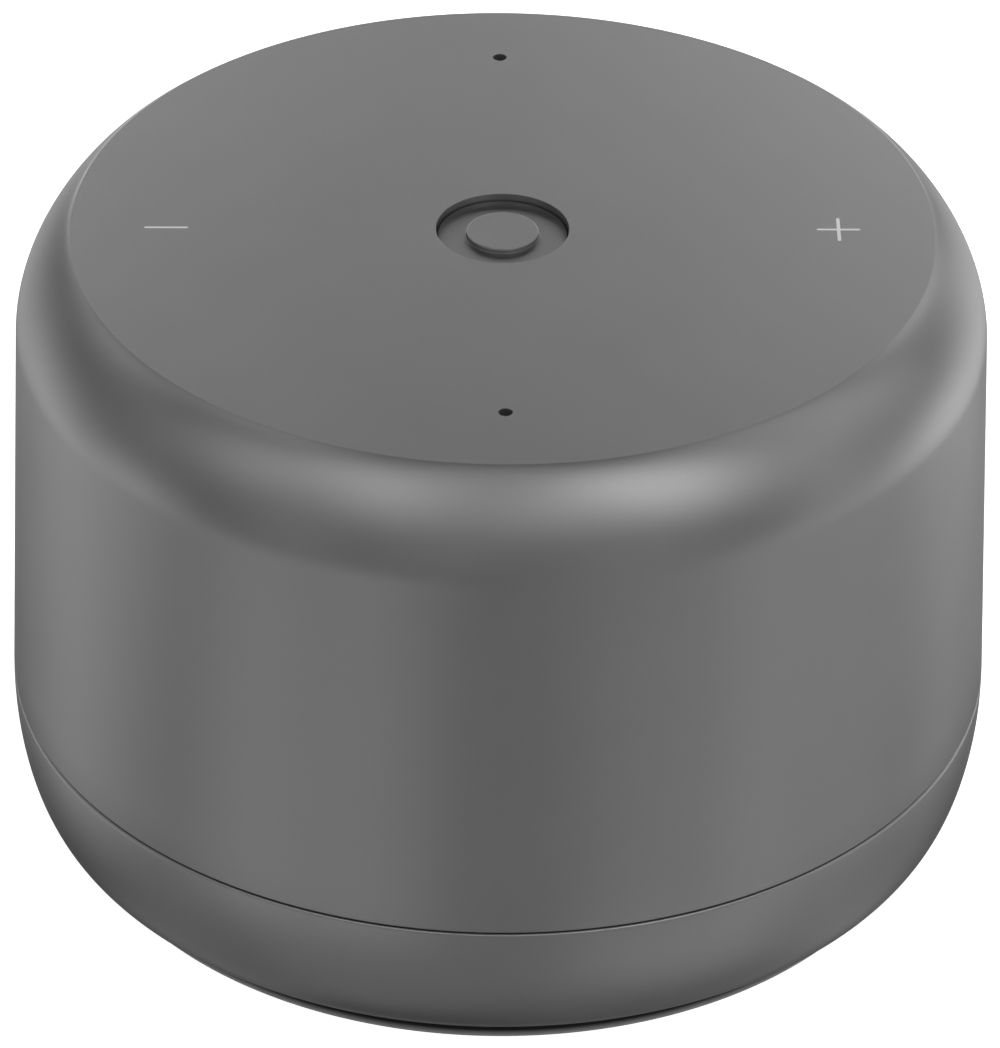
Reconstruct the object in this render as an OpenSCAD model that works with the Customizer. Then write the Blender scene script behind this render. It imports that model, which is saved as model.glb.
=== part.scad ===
/* [Body] */
// Diameter of the hub at its parting line
body_d = 100; // [98:0.5:102]
// Height of the hub from the resting surface to its flat top
hub_h = 68; // [67:0.5:69]
// How much narrower the wall is at the shoulder than at the parting line, on the radius
wall_draft = 1.15; // [0.8:0.05:1.4]
// Thickness of the outer wall
wall_t = 2.2; // [2:0.1:2.4]
// Thickness of the flat top
top_t = 2.4; // [2.2:0.1:2.6]
// Height of the parting line
seam_z = 17.35; // [17:0.05:17.7]
// Open gap along the parting line
seam_gap = 0.2; // [0.15:0.05:0.4]

/* [Shoulder] */
// Width of the rounded shoulder, from the flat top out to the wall
shoulder_w = 5.6; // [5:0.05:6.5]
// Height of the rounded shoulder
shoulder_h = 10.9; // [9:0.1:12]
// How far the shoulder's first slope reaches, as a share of its width
shoulder_top_ease = 0.3; // [0.1:0.01:0.5]
// Drop of that first slope, which makes the crease round the flat top
shoulder_crease = 0.9; // [0:0.05:1.2]
// How softly the shoulder turns into the wall
shoulder_wall_ease = 0.47; // [0.2:0.01:0.6]

/* [Button] */
// Diameter of the button's hole in the top
button_hole_d = 13.34; // [12.8:0.02:13.8]
// Gap between the button and its hole
button_gap = 0.15; // [0.15:0.05:0.3]
// Depth of the button's rim below the top
button_recess = 0.75; // [0.6:0.05:0.9]
// Diameter of the raised round plateau on the button
plateau_d = 7.2; // [6:0.1:8]
// Height of the plateau above the button's rim
plateau_h = 0.45; // [0.2:0.05:0.5]
// Travel of the button
button_travel = 0.4; // [0.2:0.05:0.4]

/* [Marks and microphones] */
// Distance of each volume mark from the centre
mark_reach = 33.6; // [32:0.1:35]
// Length of a mark's strokes
mark_l = 4.4; // [3.5:0.1:5]
// Width of a mark's strokes
mark_w = 0.35; // [0.3:0.05:0.6]
// Depth that the marks are let into the top
mark_depth = 0.3; // [0.2:0.05:0.4]
// Distance of each microphone port from the centre
mic_reach = 34; // [33:0.1:35]
// Diameter of a microphone port
mic_d = 1.4; // [1:0.1:1.6]

/* [Base and foot] */
// Height of the base's lowest edge, where the sound comes out
base_z = 3.65; // [3.5:0.05:3.8]
// Radius of the base's lowest edge
base_edge_r = 46.9; // [46.5:0.1:47.2]
// Radius of the foot
foot_r = 43.8; // [43.6:0.1:44]
// Height of the foot's rim
foot_h = 1.6; // [1.4:0.1:1.8]

/* [Power inlet] */
// Width of the pocket that takes the plug's body
plug_w = 12.4; // [12:0.1:13]
// Height of the pocket that takes the plug's body
plug_h = 6.6; // [6.4:0.1:7]
// Distance of the pocket's floor from the hub's axis
pocket_y = 43.6; // [43.4:0.1:44]

/* [Speaker] */
// Radius of the speaker's mounting flange
flange_r = 25; // [24.8:0.1:25.2]
// Outer radius of the speaker's cone
cone_r = 16.8; // [16.5:0.1:17]
// Radius of the voice coil's former
former_r = 6.5; // [6.4:0.1:6.6]

/* [Hidden] */
$fn = 96;
// Overlap that lets a cut break cleanly through a face
cut = 0.1;
// Room between neighbouring pieces that are only slipped together
slip = 0.1;
// Room between neighbouring pieces that stay apart
gap = 0.3;
// Room round a screw's shaft
shaft_room = 0.2;
// Points along each rounded profile
curve_steps = 14;

// Shells
seam_r = body_d / 2;
shoulder_z = hub_h - shoulder_h;
wall_top_r = seam_r - wall_draft;
wall_slope = wall_draft / (shoulder_z - seam_z);
shell_z = seam_z + seam_gap / 2;
base_top_z = seam_z - seam_gap / 2;
top_under_z = hub_h - top_t;
edge_ease = 0.3;
floor_t = 2.2;
floor_z = base_z + floor_t;
lip_r = seam_r - wall_t - gap;
lip_t = 1.8;
lip_h = 2.4;
lip_root_h = 3;
corner_angles = [45, 135, 225, 315];

// Shell screws: long posts in the outer shell meet short posts in the base
post_reach = 40;
post_r = 3.2;
post_meet_z = 13.9;
post_top_z = 52;
pilot_r = 1.25;
shaft_r = 1.2;
head_r = 2.3;
head_h = 1.5;
shell_screw_l = 20;
pilot_depth = 14;
pilot_floor = 0.8;
rib_t = 2;

// Foot
pad_t = 0.8;
foot_lip_t = 1;
plate_r = foot_r - foot_lip_t - slip;
plate_top_z = 2.2;
spreader_r = 24;
spreader_tip_r = 3;
spreader_top_z = 5;
foot_post_reach = 29;
foot_post_r = 3.2;
foot_collar_r = 4;
foot_boss_top_z = 10;

// Button stack
button_r = button_hole_d / 2 - button_gap;
button_rim_z = hub_h - button_recess;
button_flange_r = button_r + 1.7;
button_flange_t = 1;
button_flange_z = top_under_z - gap - button_flange_t;
button_guide_r = button_flange_r + gap;
button_guide_t = 1.2;
button_guide_h = 2.6;
board_t = 1.6;
top_board_z = 59.4;
top_board_top = top_board_z + board_t;
top_board_r = 38;
top_post_reach = 26;
switch_w = 6;
switch_h = 1.6;
plunger_r = 1.5;
plunger_play = 0.08;
plunger_top_z = 63.2;
plunger_l = 1.3;

// Driver, facing down through the hole in the base's floor
driver_hole_r = 21;
gasket_t = 0.5;
flange_z = floor_z + gasket_t;
flange_t = 1;
ledge_z = 14.8;
ledge_r = 17.5;
front_plate_z = 17;
front_plate_t = 2;
magnet_z = front_plate_z + front_plate_t;
magnet_t = 5;
yoke_z = magnet_z + magnet_t;
yoke_t = 2.5;
magnet_r = 15.5;
gap_r = former_r + 1.05;
neck_z = 13.4;
driver_screw_reach = 23.1;
driver_screw_angles = [0, 90, 180, 270];
driver_head_r = 1.5;
driver_screw_l = 2.8;

// Speaker chamber, flat at the back to leave room for the power inlet
chamber_r = 36.5;
chamber_back_y = 31;
chamber_t = 2;
chamber_top_z = 38;
ear_reach = 39.5;
ear_angles = [20, 160, 240, 300];
ear_z = 9;
ear_t = 2.5;
ear_r = 3;

// Boards
main_board_z = 43.9;
main_board_top = main_board_z + board_t;
main_board_r = 39;
main_post_reach = 31;
main_post_angles = [30, 150, 210, 330];
small_pilot_r = 1;
small_shaft_r = 0.95;
small_head_r = 1.9;
small_head_h = 1.3;
spreader_plate_t = 1.5;
spreader_plate_r = 26;
peg_at = 15;
peg_r = 1.4;
processor_w = 15;
processor_h = 1.4;
pad_h = 0.8;

// Connectors, ribbons and wires
ribbon_plug_t = 2.6;
ribbon_plug_h = 1.5;
top_plug_x = 18;
inlet_plug_y = 34.4;
speaker_plug_x = 31;
lead_plug_x = 34;
lead_plug_r = 1.2;
lead_plug_h = 1.2;
ribbon_t = 0.2;
ribbon_gap = 0.05;
terminal_y = 1.6;
speaker_wire_r = 0.45;
wire_hole_x = 28;
wire_hole_r = 0.65;

// Power inlet
inlet_board_z = 8.6;
inlet_board_t = 1;
inlet_board_w = 22;
inlet_board_y = [32.9, 42];
socket_w = 8.94;
socket_h = 3.26;
socket_l = 7.35;
socket_wall = 0.3;
socket_z = inlet_board_z + inlet_board_t + socket_h / 2;
pocket_wall = 1.3;
pocket_corner = 3;
mouth_room = 0.3;
mouth_corner = 1.6;
inlet_screw_x = 8.5;
inlet_screw_y = 36;
inlet_post_r = 2.2;

// Antennas
antenna_r = 46.6;
antenna_t = 0.3;
antenna_z = [26, 40];
antenna_angle = 32;
lead_r = 0.5;

// Point at t on a cubic curve through the end points a and d, pulled by b and c
function cubic(a, b, c, d, t) =
    pow(1 - t, 3) * a + 3 * pow(1 - t, 2) * t * b + 3 * (1 - t) * t * t * c + pow(t, 3) * d;
function curve(a, b, c, d) = [for (i = [0:curve_steps]) cubic(a, b, c, d, i / curve_steps)];

// Shoulder from the flat top down to the wall, inset evenly for the inside face
function shoulder(inset, top_z) =
    let (rt = wall_top_r - inset, w = shoulder_w - inset * 0.1, pull = shoulder_h * shoulder_wall_ease)
    curve(
        [rt - w, top_z],
        [rt - w + w * shoulder_top_ease, top_z - shoulder_crease],
        [rt - wall_slope * pull, shoulder_z + (top_z - shoulder_z) * shoulder_wall_ease],
        [rt, shoulder_z]
    );

// Side of the base from its lowest edge up to the parting line, inset for the inside face
function base_side(inset, low_z, high_z) =
    let (h = high_z - low_z, turn = seam_r - base_edge_r)
    curve(
        [base_edge_r - inset, low_z],
        [base_edge_r - inset + turn * 0.68, low_z + h * 0.18],
        [seam_r - inset, low_z + h * 0.65],
        [seam_r - inset, high_z]
    );

function reversed(points) = [for (i = [len(points) - 1:-1:0]) points[i]];

module ring(r_out, r_in, z_low, z_high) {
    translate([0, 0, z_low]) difference() {
        cylinder(r = r_out, h = z_high - z_low);
        translate([0, 0, -cut]) cylinder(r = r_in, h = z_high - z_low + 2 * cut);
    }
}

module disc(r, z_low, z_high) {
    translate([0, 0, z_low]) cylinder(r = r, h = z_high - z_low);
}

module around(reach, angles) {
    for (a = angles) rotate([0, 0, a]) translate([reach, 0, 0]) children();
}

module block(size, at) {
    translate([at.x - size.x / 2, at.y - size.y / 2, at.z]) cube(size);
}

module rounded_rect(w, h, r) {
    square([w - 2 * r, h], center = true);
    square([w, h - 2 * r], center = true);
    for (x = [-1, 1], y = [-1, 1]) translate([x * (w / 2 - r), y * (h / 2 - r)]) circle(r = r);
}

// Rounded bar along +Y from y_low to y_high, centred on the power socket
module inlet_bar(w, h, r, y_low, y_high) {
    translate([0, y_high, socket_z]) rotate([90, 0, 0])
        linear_extrude(height = y_high - y_low) rounded_rect(w, h, r);
}

// Screw standing on its head, with a cross recess in the head's underside
module screw(shaft, head, head_t, shaft_l) {
    recess = [head * 1.2, head * 0.28, head_t * 0.6];
    difference() {
        union() {
            cylinder(r = head, h = head_t);
            cylinder(r = shaft, h = head_t + shaft_l);
        }
        for (a = [0, 90]) rotate([0, 0, a]) block(recess, [0, 0, -cut]);
    }
}

// Screw hanging by its head, so that the shaft points down from z = 0
module screw_down(shaft, head, head_t, shaft_l) {
    translate([0, 0, head_t]) mirror([0, 0, 1]) screw(shaft, head, head_t, shaft_l);
}

// Round wire through a list of points, with a slightly fuller ball at each bend
module wire(points, r) {
    bend_r = r * 1.04;
    for (i = [0:len(points) - 2]) {
        step = points[i + 1] - points[i];
        l = norm(step);
        translate(points[i]) rotate([0, acos(step.z / l), atan2(step.y, step.x)]) cylinder(r = r, h = l);
    }
    for (p = points) translate(p) sphere(r = bend_r);
}

// Flat ribbon through a list of points in a plane, standing w wide across it
module ribbon(points, w, t) {
    translate([0, 0, -w / 2]) linear_extrude(height = w) {
        for (i = [0:len(points) - 2]) {
            step = points[i + 1] - points[i];
            translate(points[i]) rotate(atan2(step.y, step.x))
                translate([0, -t / 2]) square([norm(step), t]);
        }
        for (p = points) translate(p) circle(d = t);
    }
}

module plus_outline(l, w) {
    square([l, w], center = true);
    square([w, l], center = true);
}

module outer_shell() {
    guide_z = top_under_z - button_guide_h;
    rib_z = shell_z + lip_h + 0.5;
    rib_l = wall_top_r - 0.6 - post_reach;
    ledge_w = 1.1;
    ledge_h = 1.5;
    color("dimgray") difference() {
        union() {
            rotate_extrude() polygon(concat(
                [[0, hub_h]],
                shoulder(0, hub_h),
                [[seam_r, shell_z + edge_ease], [seam_r - edge_ease, shell_z], [seam_r - wall_t, shell_z]],
                reversed(shoulder(wall_t, top_under_z)),
                [[0, top_under_z]]
            ));
            ring(button_guide_r + button_guide_t, button_guide_r, guide_z, top_under_z + cut);
            around(top_post_reach, corner_angles) disc(post_r, top_board_top, top_under_z + cut);
            around(post_reach, corner_angles) {
                disc(post_r, post_meet_z, post_top_z);
                translate([0, -rib_t / 2, rib_z]) cube([rib_l, rib_t, post_top_z - rib_z]);
            }
            for (a = [0, 180], z = [antenna_z[0] + ledge_h, antenna_z[1] - 2 * ledge_h])
                rotate([0, 0, a - antenna_angle / 2]) rotate_extrude(angle = antenna_angle)
                    translate([antenna_r + antenna_t + slip / 2, z]) square([ledge_w, ledge_h]);
        }
        disc(button_hole_d / 2, top_under_z - cut, hub_h + cut);
        for (side = [-1, 1]) translate([0, side * mic_reach, 0])
            disc(mic_d / 2, top_under_z - cut, hub_h + cut);
        translate([mark_reach, 0, hub_h - mark_depth]) linear_extrude(height = mark_depth + cut)
            plus_outline(mark_l, mark_w);
        translate([-mark_reach, 0, hub_h - mark_depth]) linear_extrude(height = mark_depth + cut)
            square([mark_l, mark_w], center = true);
        around(top_post_reach, corner_angles)
            disc(small_pilot_r, top_board_top - cut, top_under_z - 0.4);
        around(post_reach, corner_angles) disc(pilot_r, post_meet_z - cut, post_meet_z + pilot_depth);
    }
}

module volume_up_mark() {
    color("gainsboro") translate([mark_reach, 0, hub_h - mark_depth])
        linear_extrude(height = mark_depth) plus_outline(mark_l, mark_w);
}

module volume_down_mark() {
    color("gainsboro") translate([-mark_reach, 0, hub_h - mark_depth])
        linear_extrude(height = mark_depth) square([mark_l, mark_w], center = true);
}

module button_cap() {
    plateau_r = plateau_d / 2;
    plateau_z = button_rim_z + plateau_h;
    plateau_edge = 0.1;
    color("dimgray") rotate_extrude() polygon([
        [0, plateau_z],
        [plateau_r - plateau_edge, plateau_z],
        [plateau_r, plateau_z - plateau_edge],
        [plateau_r + plateau_edge / 2, button_rim_z],
        [button_r - edge_ease, button_rim_z],
        [button_r, button_rim_z - edge_ease],
        [button_r, button_flange_z + button_flange_t],
        [button_flange_r, button_flange_z + button_flange_t],
        [button_flange_r, button_flange_z],
        [plunger_r + 1, button_flange_z],
        [plunger_r + 1, plunger_top_z],
        [0, plunger_top_z]
    ]);
}

module button_plunger() {
    color("black") disc(plunger_r, plunger_top_z - plunger_l, plunger_top_z);
}

module button_switch() {
    bore_z = plunger_top_z - plunger_l - button_travel - 0.1;
    color("silver") difference() {
        block([switch_w, switch_w, switch_h], [0, 0, top_board_top]);
        disc(plunger_r + plunger_play, bore_z, top_board_top + switch_h + cut);
    }
}

module base_shell() {
    pocket_face_y = seam_r + 1;
    tube_w = plug_w + 2 * pocket_wall;
    tube_h = plug_h + 2 * pocket_wall;
    color("dimgray") difference() {
        union() {
            rotate_extrude() polygon(concat(
                [[driver_hole_r, base_z]],
                base_side(0, base_z, base_top_z - edge_ease),
                [[seam_r - edge_ease, base_top_z], [lip_r, base_top_z], [lip_r, base_top_z + lip_h]],
                [[lip_r - lip_t, base_top_z + lip_h], [lip_r - lip_t, base_top_z - lip_root_h / 2]],
                reversed(base_side(wall_t, floor_z, base_top_z - lip_root_h)),
                [[driver_hole_r, floor_z]]
            ));
            intersection() {
                inlet_bar(tube_w, tube_h, pocket_corner, pocket_y - pocket_wall, pocket_face_y);
                rotate_extrude() polygon(concat(
                    [[0, base_z]], base_side(1, base_z, base_top_z), [[0, base_top_z]]
                ));
            }
            around(post_reach, corner_angles) disc(post_r, floor_z - cut, post_meet_z - slip);
            around(foot_post_reach, corner_angles) disc(foot_post_r, floor_z - cut, foot_boss_top_z);
            around(ear_reach, ear_angles) disc(ear_r, floor_z - cut, ear_z);
            for (x = [-1, 1]) translate([x * inlet_screw_x, inlet_screw_y, 0])
                disc(inlet_post_r, floor_z - cut, inlet_board_z);
        }
        around(post_reach, corner_angles) {
            disc(post_r + gap, post_meet_z - slip, base_top_z + lip_h + cut);
            disc(shaft_r + shaft_room, base_z - cut, post_meet_z);
            disc(head_r + gap, base_z - cut, base_z + head_h + 1);
        }
        around(foot_post_reach, corner_angles) disc(pilot_r, base_z - cut, foot_boss_top_z - 1);
        around(ear_reach, ear_angles) disc(pilot_r, base_z + pilot_floor, ear_z + cut);
        around(driver_screw_reach, driver_screw_angles)
            disc(small_pilot_r, base_z + pilot_floor, floor_z + cut);
        for (x = [-1, 1]) translate([x * inlet_screw_x, inlet_screw_y, 0])
            disc(small_pilot_r, base_z + pilot_floor, inlet_board_z + cut);
        inlet_bar(plug_w, plug_h, pocket_corner, pocket_y, pocket_face_y);
        inlet_bar(socket_w + mouth_room, socket_h + mouth_room, mouth_corner, pocket_y - pocket_wall - 1,
            pocket_y + cut);
    }
}

module foot_plate() {
    color("dimgray") difference() {
        union() {
            rotate_extrude() polygon([
                [0, pad_t],
                [plate_r, pad_t],
                [plate_r, plate_top_z - edge_ease],
                [plate_r - edge_ease, plate_top_z],
                [spreader_r, plate_top_z],
                [spreader_tip_r, spreader_top_z],
                [0, spreader_top_z]
            ]);
            around(foot_post_reach, corner_angles) disc(foot_collar_r, pad_t, base_z);
        }
        around(foot_post_reach, corner_angles) {
            disc(head_r + gap, pad_t - cut, pad_t + head_h + slip);
            disc(shaft_r + shaft_room, pad_t, base_z + cut);
        }
    }
}

module rubber_foot() {
    color("black") rotate_extrude() polygon([
        [0, 0],
        [foot_r - edge_ease, 0],
        [foot_r, edge_ease],
        [foot_r, foot_h - edge_ease / 2],
        [foot_r - edge_ease / 2, foot_h],
        [foot_r - foot_lip_t, foot_h],
        [foot_r - foot_lip_t, pad_t],
        [0, pad_t]
    ]);
}

module foot_screws() {
    color("silver") around(foot_post_reach, corner_angles) translate([0, 0, pad_t + slip])
        screw(shaft_r, head_r, head_h, foot_boss_top_z - pad_t - head_h - 1.5);
}

module shell_screws() {
    color("silver") around(post_reach, corner_angles) translate([0, 0, base_z + 1])
        screw(shaft_r, head_r, head_h, shell_screw_l);
}

module top_board() {
    color("darkgreen") difference() {
        disc(top_board_r, top_board_z, top_board_top);
        for (side = [-1, 1]) translate([0, side * mic_reach, 0])
            disc(0.6, top_board_z - cut, top_board_top + cut);
        around(top_post_reach, corner_angles)
            disc(small_shaft_r + 0.25, top_board_z - cut, top_board_top + cut);
    }
}

module top_board_screws() {
    color("silver") around(top_post_reach, corner_angles)
        translate([0, 0, top_board_z - small_head_h])
            screw(small_shaft_r, small_head_r, small_head_h, 5);
}

module microphones() {
    mic_size = [3.8, 3, 1.1];
    color("gold") for (side = [-1, 1])
        block(mic_size, [0, side * mic_reach, top_board_z - mic_size.z]);
}

module microphone_gaskets() {
    gasket_r = 3;
    color("black") for (side = [-1, 1]) translate([0, side * mic_reach, 0])
        ring(gasket_r, mic_d / 2, top_board_top, top_under_z);
}

module touch_pads() {
    touch_r = 3.8;
    color("darkkhaki") for (side = [-1, 1]) translate([side * mark_reach, 0, 0])
        disc(touch_r, top_board_top, top_under_z);
}

module touch_chip() {
    chip = [5, 5, 0.9];
    color("black") block(chip, [-14, 0, top_board_z - chip.z]);
}

module board_connectors() {
    top_plug = [ribbon_plug_t, 9, ribbon_plug_h];
    inlet_plug = [11, ribbon_plug_t, ribbon_plug_h];
    speaker_plug = [5, 6, 3];
    color("ivory") {
        block(top_plug, [top_plug_x, 0, main_board_top]);
        block(top_plug, [top_plug_x, 0, top_board_z - ribbon_plug_h]);
        block(inlet_plug, [0, inlet_plug_y, inlet_board_z + inlet_board_t]);
        block(inlet_plug, [0, inlet_plug_y, main_board_z - ribbon_plug_h]);
        block(speaker_plug, [-speaker_plug_x, 0, main_board_z - speaker_plug.z]);
        for (side = [-1, 1]) translate([side * lead_plug_x, 0, main_board_top])
            disc(lead_plug_r, 0, lead_plug_h);
    }
}

module top_ribbon() {
    start_x = top_plug_x + ribbon_plug_t / 2 + ribbon_t / 2 + ribbon_gap;
    bow_x = 29;
    bend = 4;
    low = main_board_top + ribbon_plug_h / 2;
    high = top_board_z - ribbon_plug_h / 2;
    color("peru") rotate([90, 0, 0])
        ribbon([[start_x, low], [bow_x - bend, low], [bow_x, low + bend], [bow_x, high - bend],
            [bow_x - bend, high], [start_x, high]], 7, ribbon_t);
}

module chamber_outline(inset) {
    r = chamber_r - inset;
    intersection() {
        circle(r = r);
        translate([-r, -r]) square([2 * r, r + chamber_back_y - inset]);
    }
}

module speaker_chamber() {
    color("dimgray") difference() {
        union() {
            translate([0, 0, flange_z]) linear_extrude(height = chamber_top_z - flange_z)
                chamber_outline(0);
            around(ear_reach, ear_angles) {
                disc(ear_r, ear_z, ear_z + ear_t);
                translate([-6, -ear_r, ear_z]) cube([6, 2 * ear_r, ear_t]);
            }
            around(main_post_reach, main_post_angles) disc(2.4, chamber_top_z - cut, main_board_z);
            for (x = [-1, 1], y = [-1, 1]) translate([x * peg_at, y * peg_at, 0])
                disc(peg_r, chamber_top_z - cut, chamber_top_z + spreader_plate_t + 0.6);
        }
        translate([0, 0, flange_z - cut])
            linear_extrude(height = chamber_top_z - chamber_t - flange_z + cut) chamber_outline(chamber_t);
        around(ear_reach, ear_angles) disc(shaft_r + 0.2, ear_z - cut, ear_z + ear_t + cut);
        around(main_post_reach, main_post_angles)
            disc(small_pilot_r, chamber_top_z + 0.5, main_board_z + cut);
        for (y = [-1, 1]) translate([-wire_hole_x, y, 0])
            disc(wire_hole_r, chamber_top_z - chamber_t - cut, chamber_top_z + cut);
    }
}

module chamber_seal() {
    color("black") translate([0, 0, floor_z]) linear_extrude(height = gasket_t) difference() {
        chamber_outline(0);
        chamber_outline(chamber_t);
    }
}

module chamber_screws() {
    color("silver") around(ear_reach, ear_angles) translate([0, 0, ear_z + ear_t])
        screw_down(shaft_r, head_r, head_h, ear_t + 3.5);
}

module driver_basket() {
    leg_t = 1;
    window = [20, 7, 5.4];
    color("gray") difference() {
        rotate_extrude() polygon([
            [20, flange_z], [flange_r, flange_z], [flange_r, flange_z + flange_t],
            [21, flange_z + flange_t], [ledge_r + leg_t, ledge_z], [ledge_r, front_plate_z],
            [former_r + 5, front_plate_z], [former_r + 5, front_plate_z - leg_t],
            [ledge_r - 2, front_plate_z - leg_t], [ledge_r - 2, ledge_z], [ledge_r, ledge_z]
        ]);
        around(driver_screw_reach, driver_screw_angles)
            disc(small_shaft_r + 0.2, flange_z - cut, flange_z + flange_t + cut);
        for (a = [45:90:315]) rotate([0, 0, a]) translate([12, -window.y, flange_z + 1.9])
            cube([window.x, 2 * window.y, window.z]);
    }
}

module driver_gasket() {
    color("black") difference() {
        ring(flange_r, driver_hole_r + 0.4, floor_z, flange_z);
        around(driver_screw_reach, driver_screw_angles)
            disc(small_shaft_r + 0.2, floor_z - cut, flange_z + cut);
    }
}

module driver_screws() {
    color("silver") around(driver_screw_reach, driver_screw_angles) translate([0, 0, flange_z + flange_t])
        screw_down(small_shaft_r, driver_head_r, small_head_h, driver_screw_l);
}

module magnet_ring() {
    color("darkslategray") ring(magnet_r, former_r + 3, magnet_z, yoke_z);
}

module front_plate() {
    color("silver") ring(magnet_r - 0.5, gap_r, front_plate_z, magnet_z);
}

module magnet_yoke() {
    color("silver") {
        disc(magnet_r - 0.5, yoke_z, yoke_z + yoke_t);
        disc(former_r - 0.4, front_plate_z, yoke_z);
    }
}

module voice_coil() {
    color("chocolate") {
        ring(former_r + 0.2, former_r, neck_z, front_plate_z + 4.5);
        ring(former_r + 0.7, former_r + 0.1, front_plate_z - 1, front_plate_z + 3);
    }
}

module speaker_cone() {
    paper_t = 0.45;
    color("black") rotate_extrude() polygon([
        [former_r + 0.2, neck_z], [cone_r * 0.66, neck_z - 3.4], [cone_r - 0.6, flange_z + 0.35],
        [cone_r, flange_z + 0.35], [cone_r, flange_z + 0.35 + paper_t],
        [cone_r - 0.3, flange_z + 0.35 + paper_t], [cone_r * 0.66 + 0.3, neck_z - 3.4 + paper_t],
        [former_r + 0.2, neck_z + paper_t]
    ]);
}

module dust_cap() {
    cap_z = neck_z - 2.6;
    cap_t = 0.35;
    color("black") rotate_extrude() polygon([
        [0, cap_z], [former_r * 0.5, cap_z + 0.45], [former_r, neck_z - 0.8], [former_r, neck_z],
        [former_r - cap_t, neck_z], [former_r - cap_t, neck_z - 0.6],
        [former_r * 0.5, cap_z + 0.45 + cap_t], [0, cap_z + cap_t]
    ]);
}

// Half-round roll between the cone's edge and the basket
module cone_surround() {
    roll_t = 0.3;
    land_z = flange_z;
    roll_out_r = 19.8;
    outer_r = 20.6;
    roll_r = (roll_out_r - cone_r) / 2;
    color("black") rotate_extrude() {
        difference() {
            translate([cone_r + roll_r, land_z]) circle(r = roll_r);
            translate([cone_r + roll_r, land_z]) circle(r = roll_r - roll_t);
            translate([cone_r - cut, land_z]) square([2 * roll_r + 2 * cut, roll_r + cut]);
        }
        translate([roll_out_r - roll_t, land_z - roll_t]) square([outer_r - roll_out_r + roll_t, roll_t]);
        translate([cone_r - 1, land_z - roll_t]) square([1 + roll_t, roll_t]);
    }
}

// Corrugated ring that keeps the voice coil centred
module spider() {
    in_r = former_r + 0.75;
    out_r = ledge_r - 0.6;
    waves = 3;
    pitch = (out_r - in_r - 2) / waves;
    cloth_t = 0.3;
    rise = 0.5;
    z = ledge_z - rise - cloth_t;
    low = [for (i = [0:2 * waves]) [in_r + 0.8 + i * pitch / 2, z + (i % 2 == 0 ? 0 : rise)]];
    lift = [0, cloth_t];
    line = concat([[in_r, z]], low, [[out_r - 0.7, z + rise], [out_r, z + rise]]);
    color("khaki") rotate_extrude() polygon(concat(line, reversed([for (p = line) p + lift])));
}

module speaker_terminals() {
    terminal = [2.6, 1.2, 0.6];
    color("goldenrod") for (y = [-1, 1]) block(terminal, [-ledge_r + 0.2, y * terminal_y, front_plate_z]);
}

module speaker_wires() {
    start = [-ledge_r - 0.9, terminal_y, front_plate_z + 1.1];
    color("crimson") for (y = [-1, 1]) wire([
        [start.x, y * start.y, start.z],
        [-24, y * 1.3, 21],
        [-wire_hole_x, y, 28],
        [-wire_hole_x, y, 39],
        [-speaker_plug_x, y, main_board_z - 3.6]
    ], speaker_wire_r);
}

module heat_spreader() {
    color("silver") difference() {
        union() {
            disc(spreader_plate_r, chamber_top_z, chamber_top_z + spreader_plate_t);
            block([processor_w, processor_w, main_board_z - processor_h - pad_h - chamber_top_z],
                [0, 0, chamber_top_z]);
        }
        for (x = [-1, 1], y = [-1, 1]) translate([x * peg_at, y * peg_at, 0])
            disc(peg_r + slip, chamber_top_z - cut, chamber_top_z + spreader_plate_t + cut);
    }
}

module thermal_pad() {
    color("lightblue")
        block([processor_w - 1, processor_w - 1, pad_h], [0, 0, main_board_z - processor_h - pad_h]);
}

module main_board() {
    color("darkgreen") difference() {
        disc(main_board_r, main_board_z, main_board_top);
        around(main_post_reach, main_post_angles)
            disc(small_shaft_r + 0.25, main_board_z - cut, main_board_top + cut);
        around(post_reach, corner_angles) disc(post_r + 0.8, main_board_z - cut, main_board_top + cut);
    }
}

module main_board_screws() {
    color("silver") around(main_post_reach, main_post_angles) translate([0, 0, main_board_top])
        screw_down(small_shaft_r, small_head_r, small_head_h, board_t + 4);
}

module processor() {
    color("black") block([processor_w, processor_w, processor_h], [0, 0, main_board_z - processor_h]);
}

module memory_chips() {
    chip = [12, 9, 1];
    color("black") for (y = [-7, 7]) block(chip, [0, y, main_board_top]);
}

module radio_shield() {
    can = [20, 16, 2.2];
    can_y = 22;
    sheet = 0.3;
    color("silver") difference() {
        block(can, [0, can_y, main_board_top]);
        block([can.x - 2 * sheet, can.y - 2 * sheet, can.z - sheet], [0, can_y, main_board_top - cut]);
    }
}

module power_coil() {
    coil = [8, 8, 4.2];
    corner_reach = 5.2;
    color("dimgray") translate([15, -20, main_board_top]) difference() {
        block(coil, [0, 0, 0]);
        around(corner_reach, corner_angles) translate([0, -2, -cut]) cube([2, 4, coil.z + 2 * cut]);
    }
}

module capacitors() {
    can_r = 3.15;
    can_h = 5.8;
    foot = [6.6, 6.6, 0.8];
    color("silver") for (x = [-20, -12, -4]) translate([x, -20, 0]) {
        disc(can_r, main_board_top + foot.z, main_board_top + can_h);
        block(foot, [0, 0, main_board_top]);
    }
}

module radio_antennas() {
    color("gold") for (a = [0, 180]) rotate([0, 0, a - antenna_angle / 2])
        rotate_extrude(angle = antenna_angle) translate([antenna_r, antenna_z[0]])
            square([antenna_t, antenna_z[1] - antenna_z[0]]);
}

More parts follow.
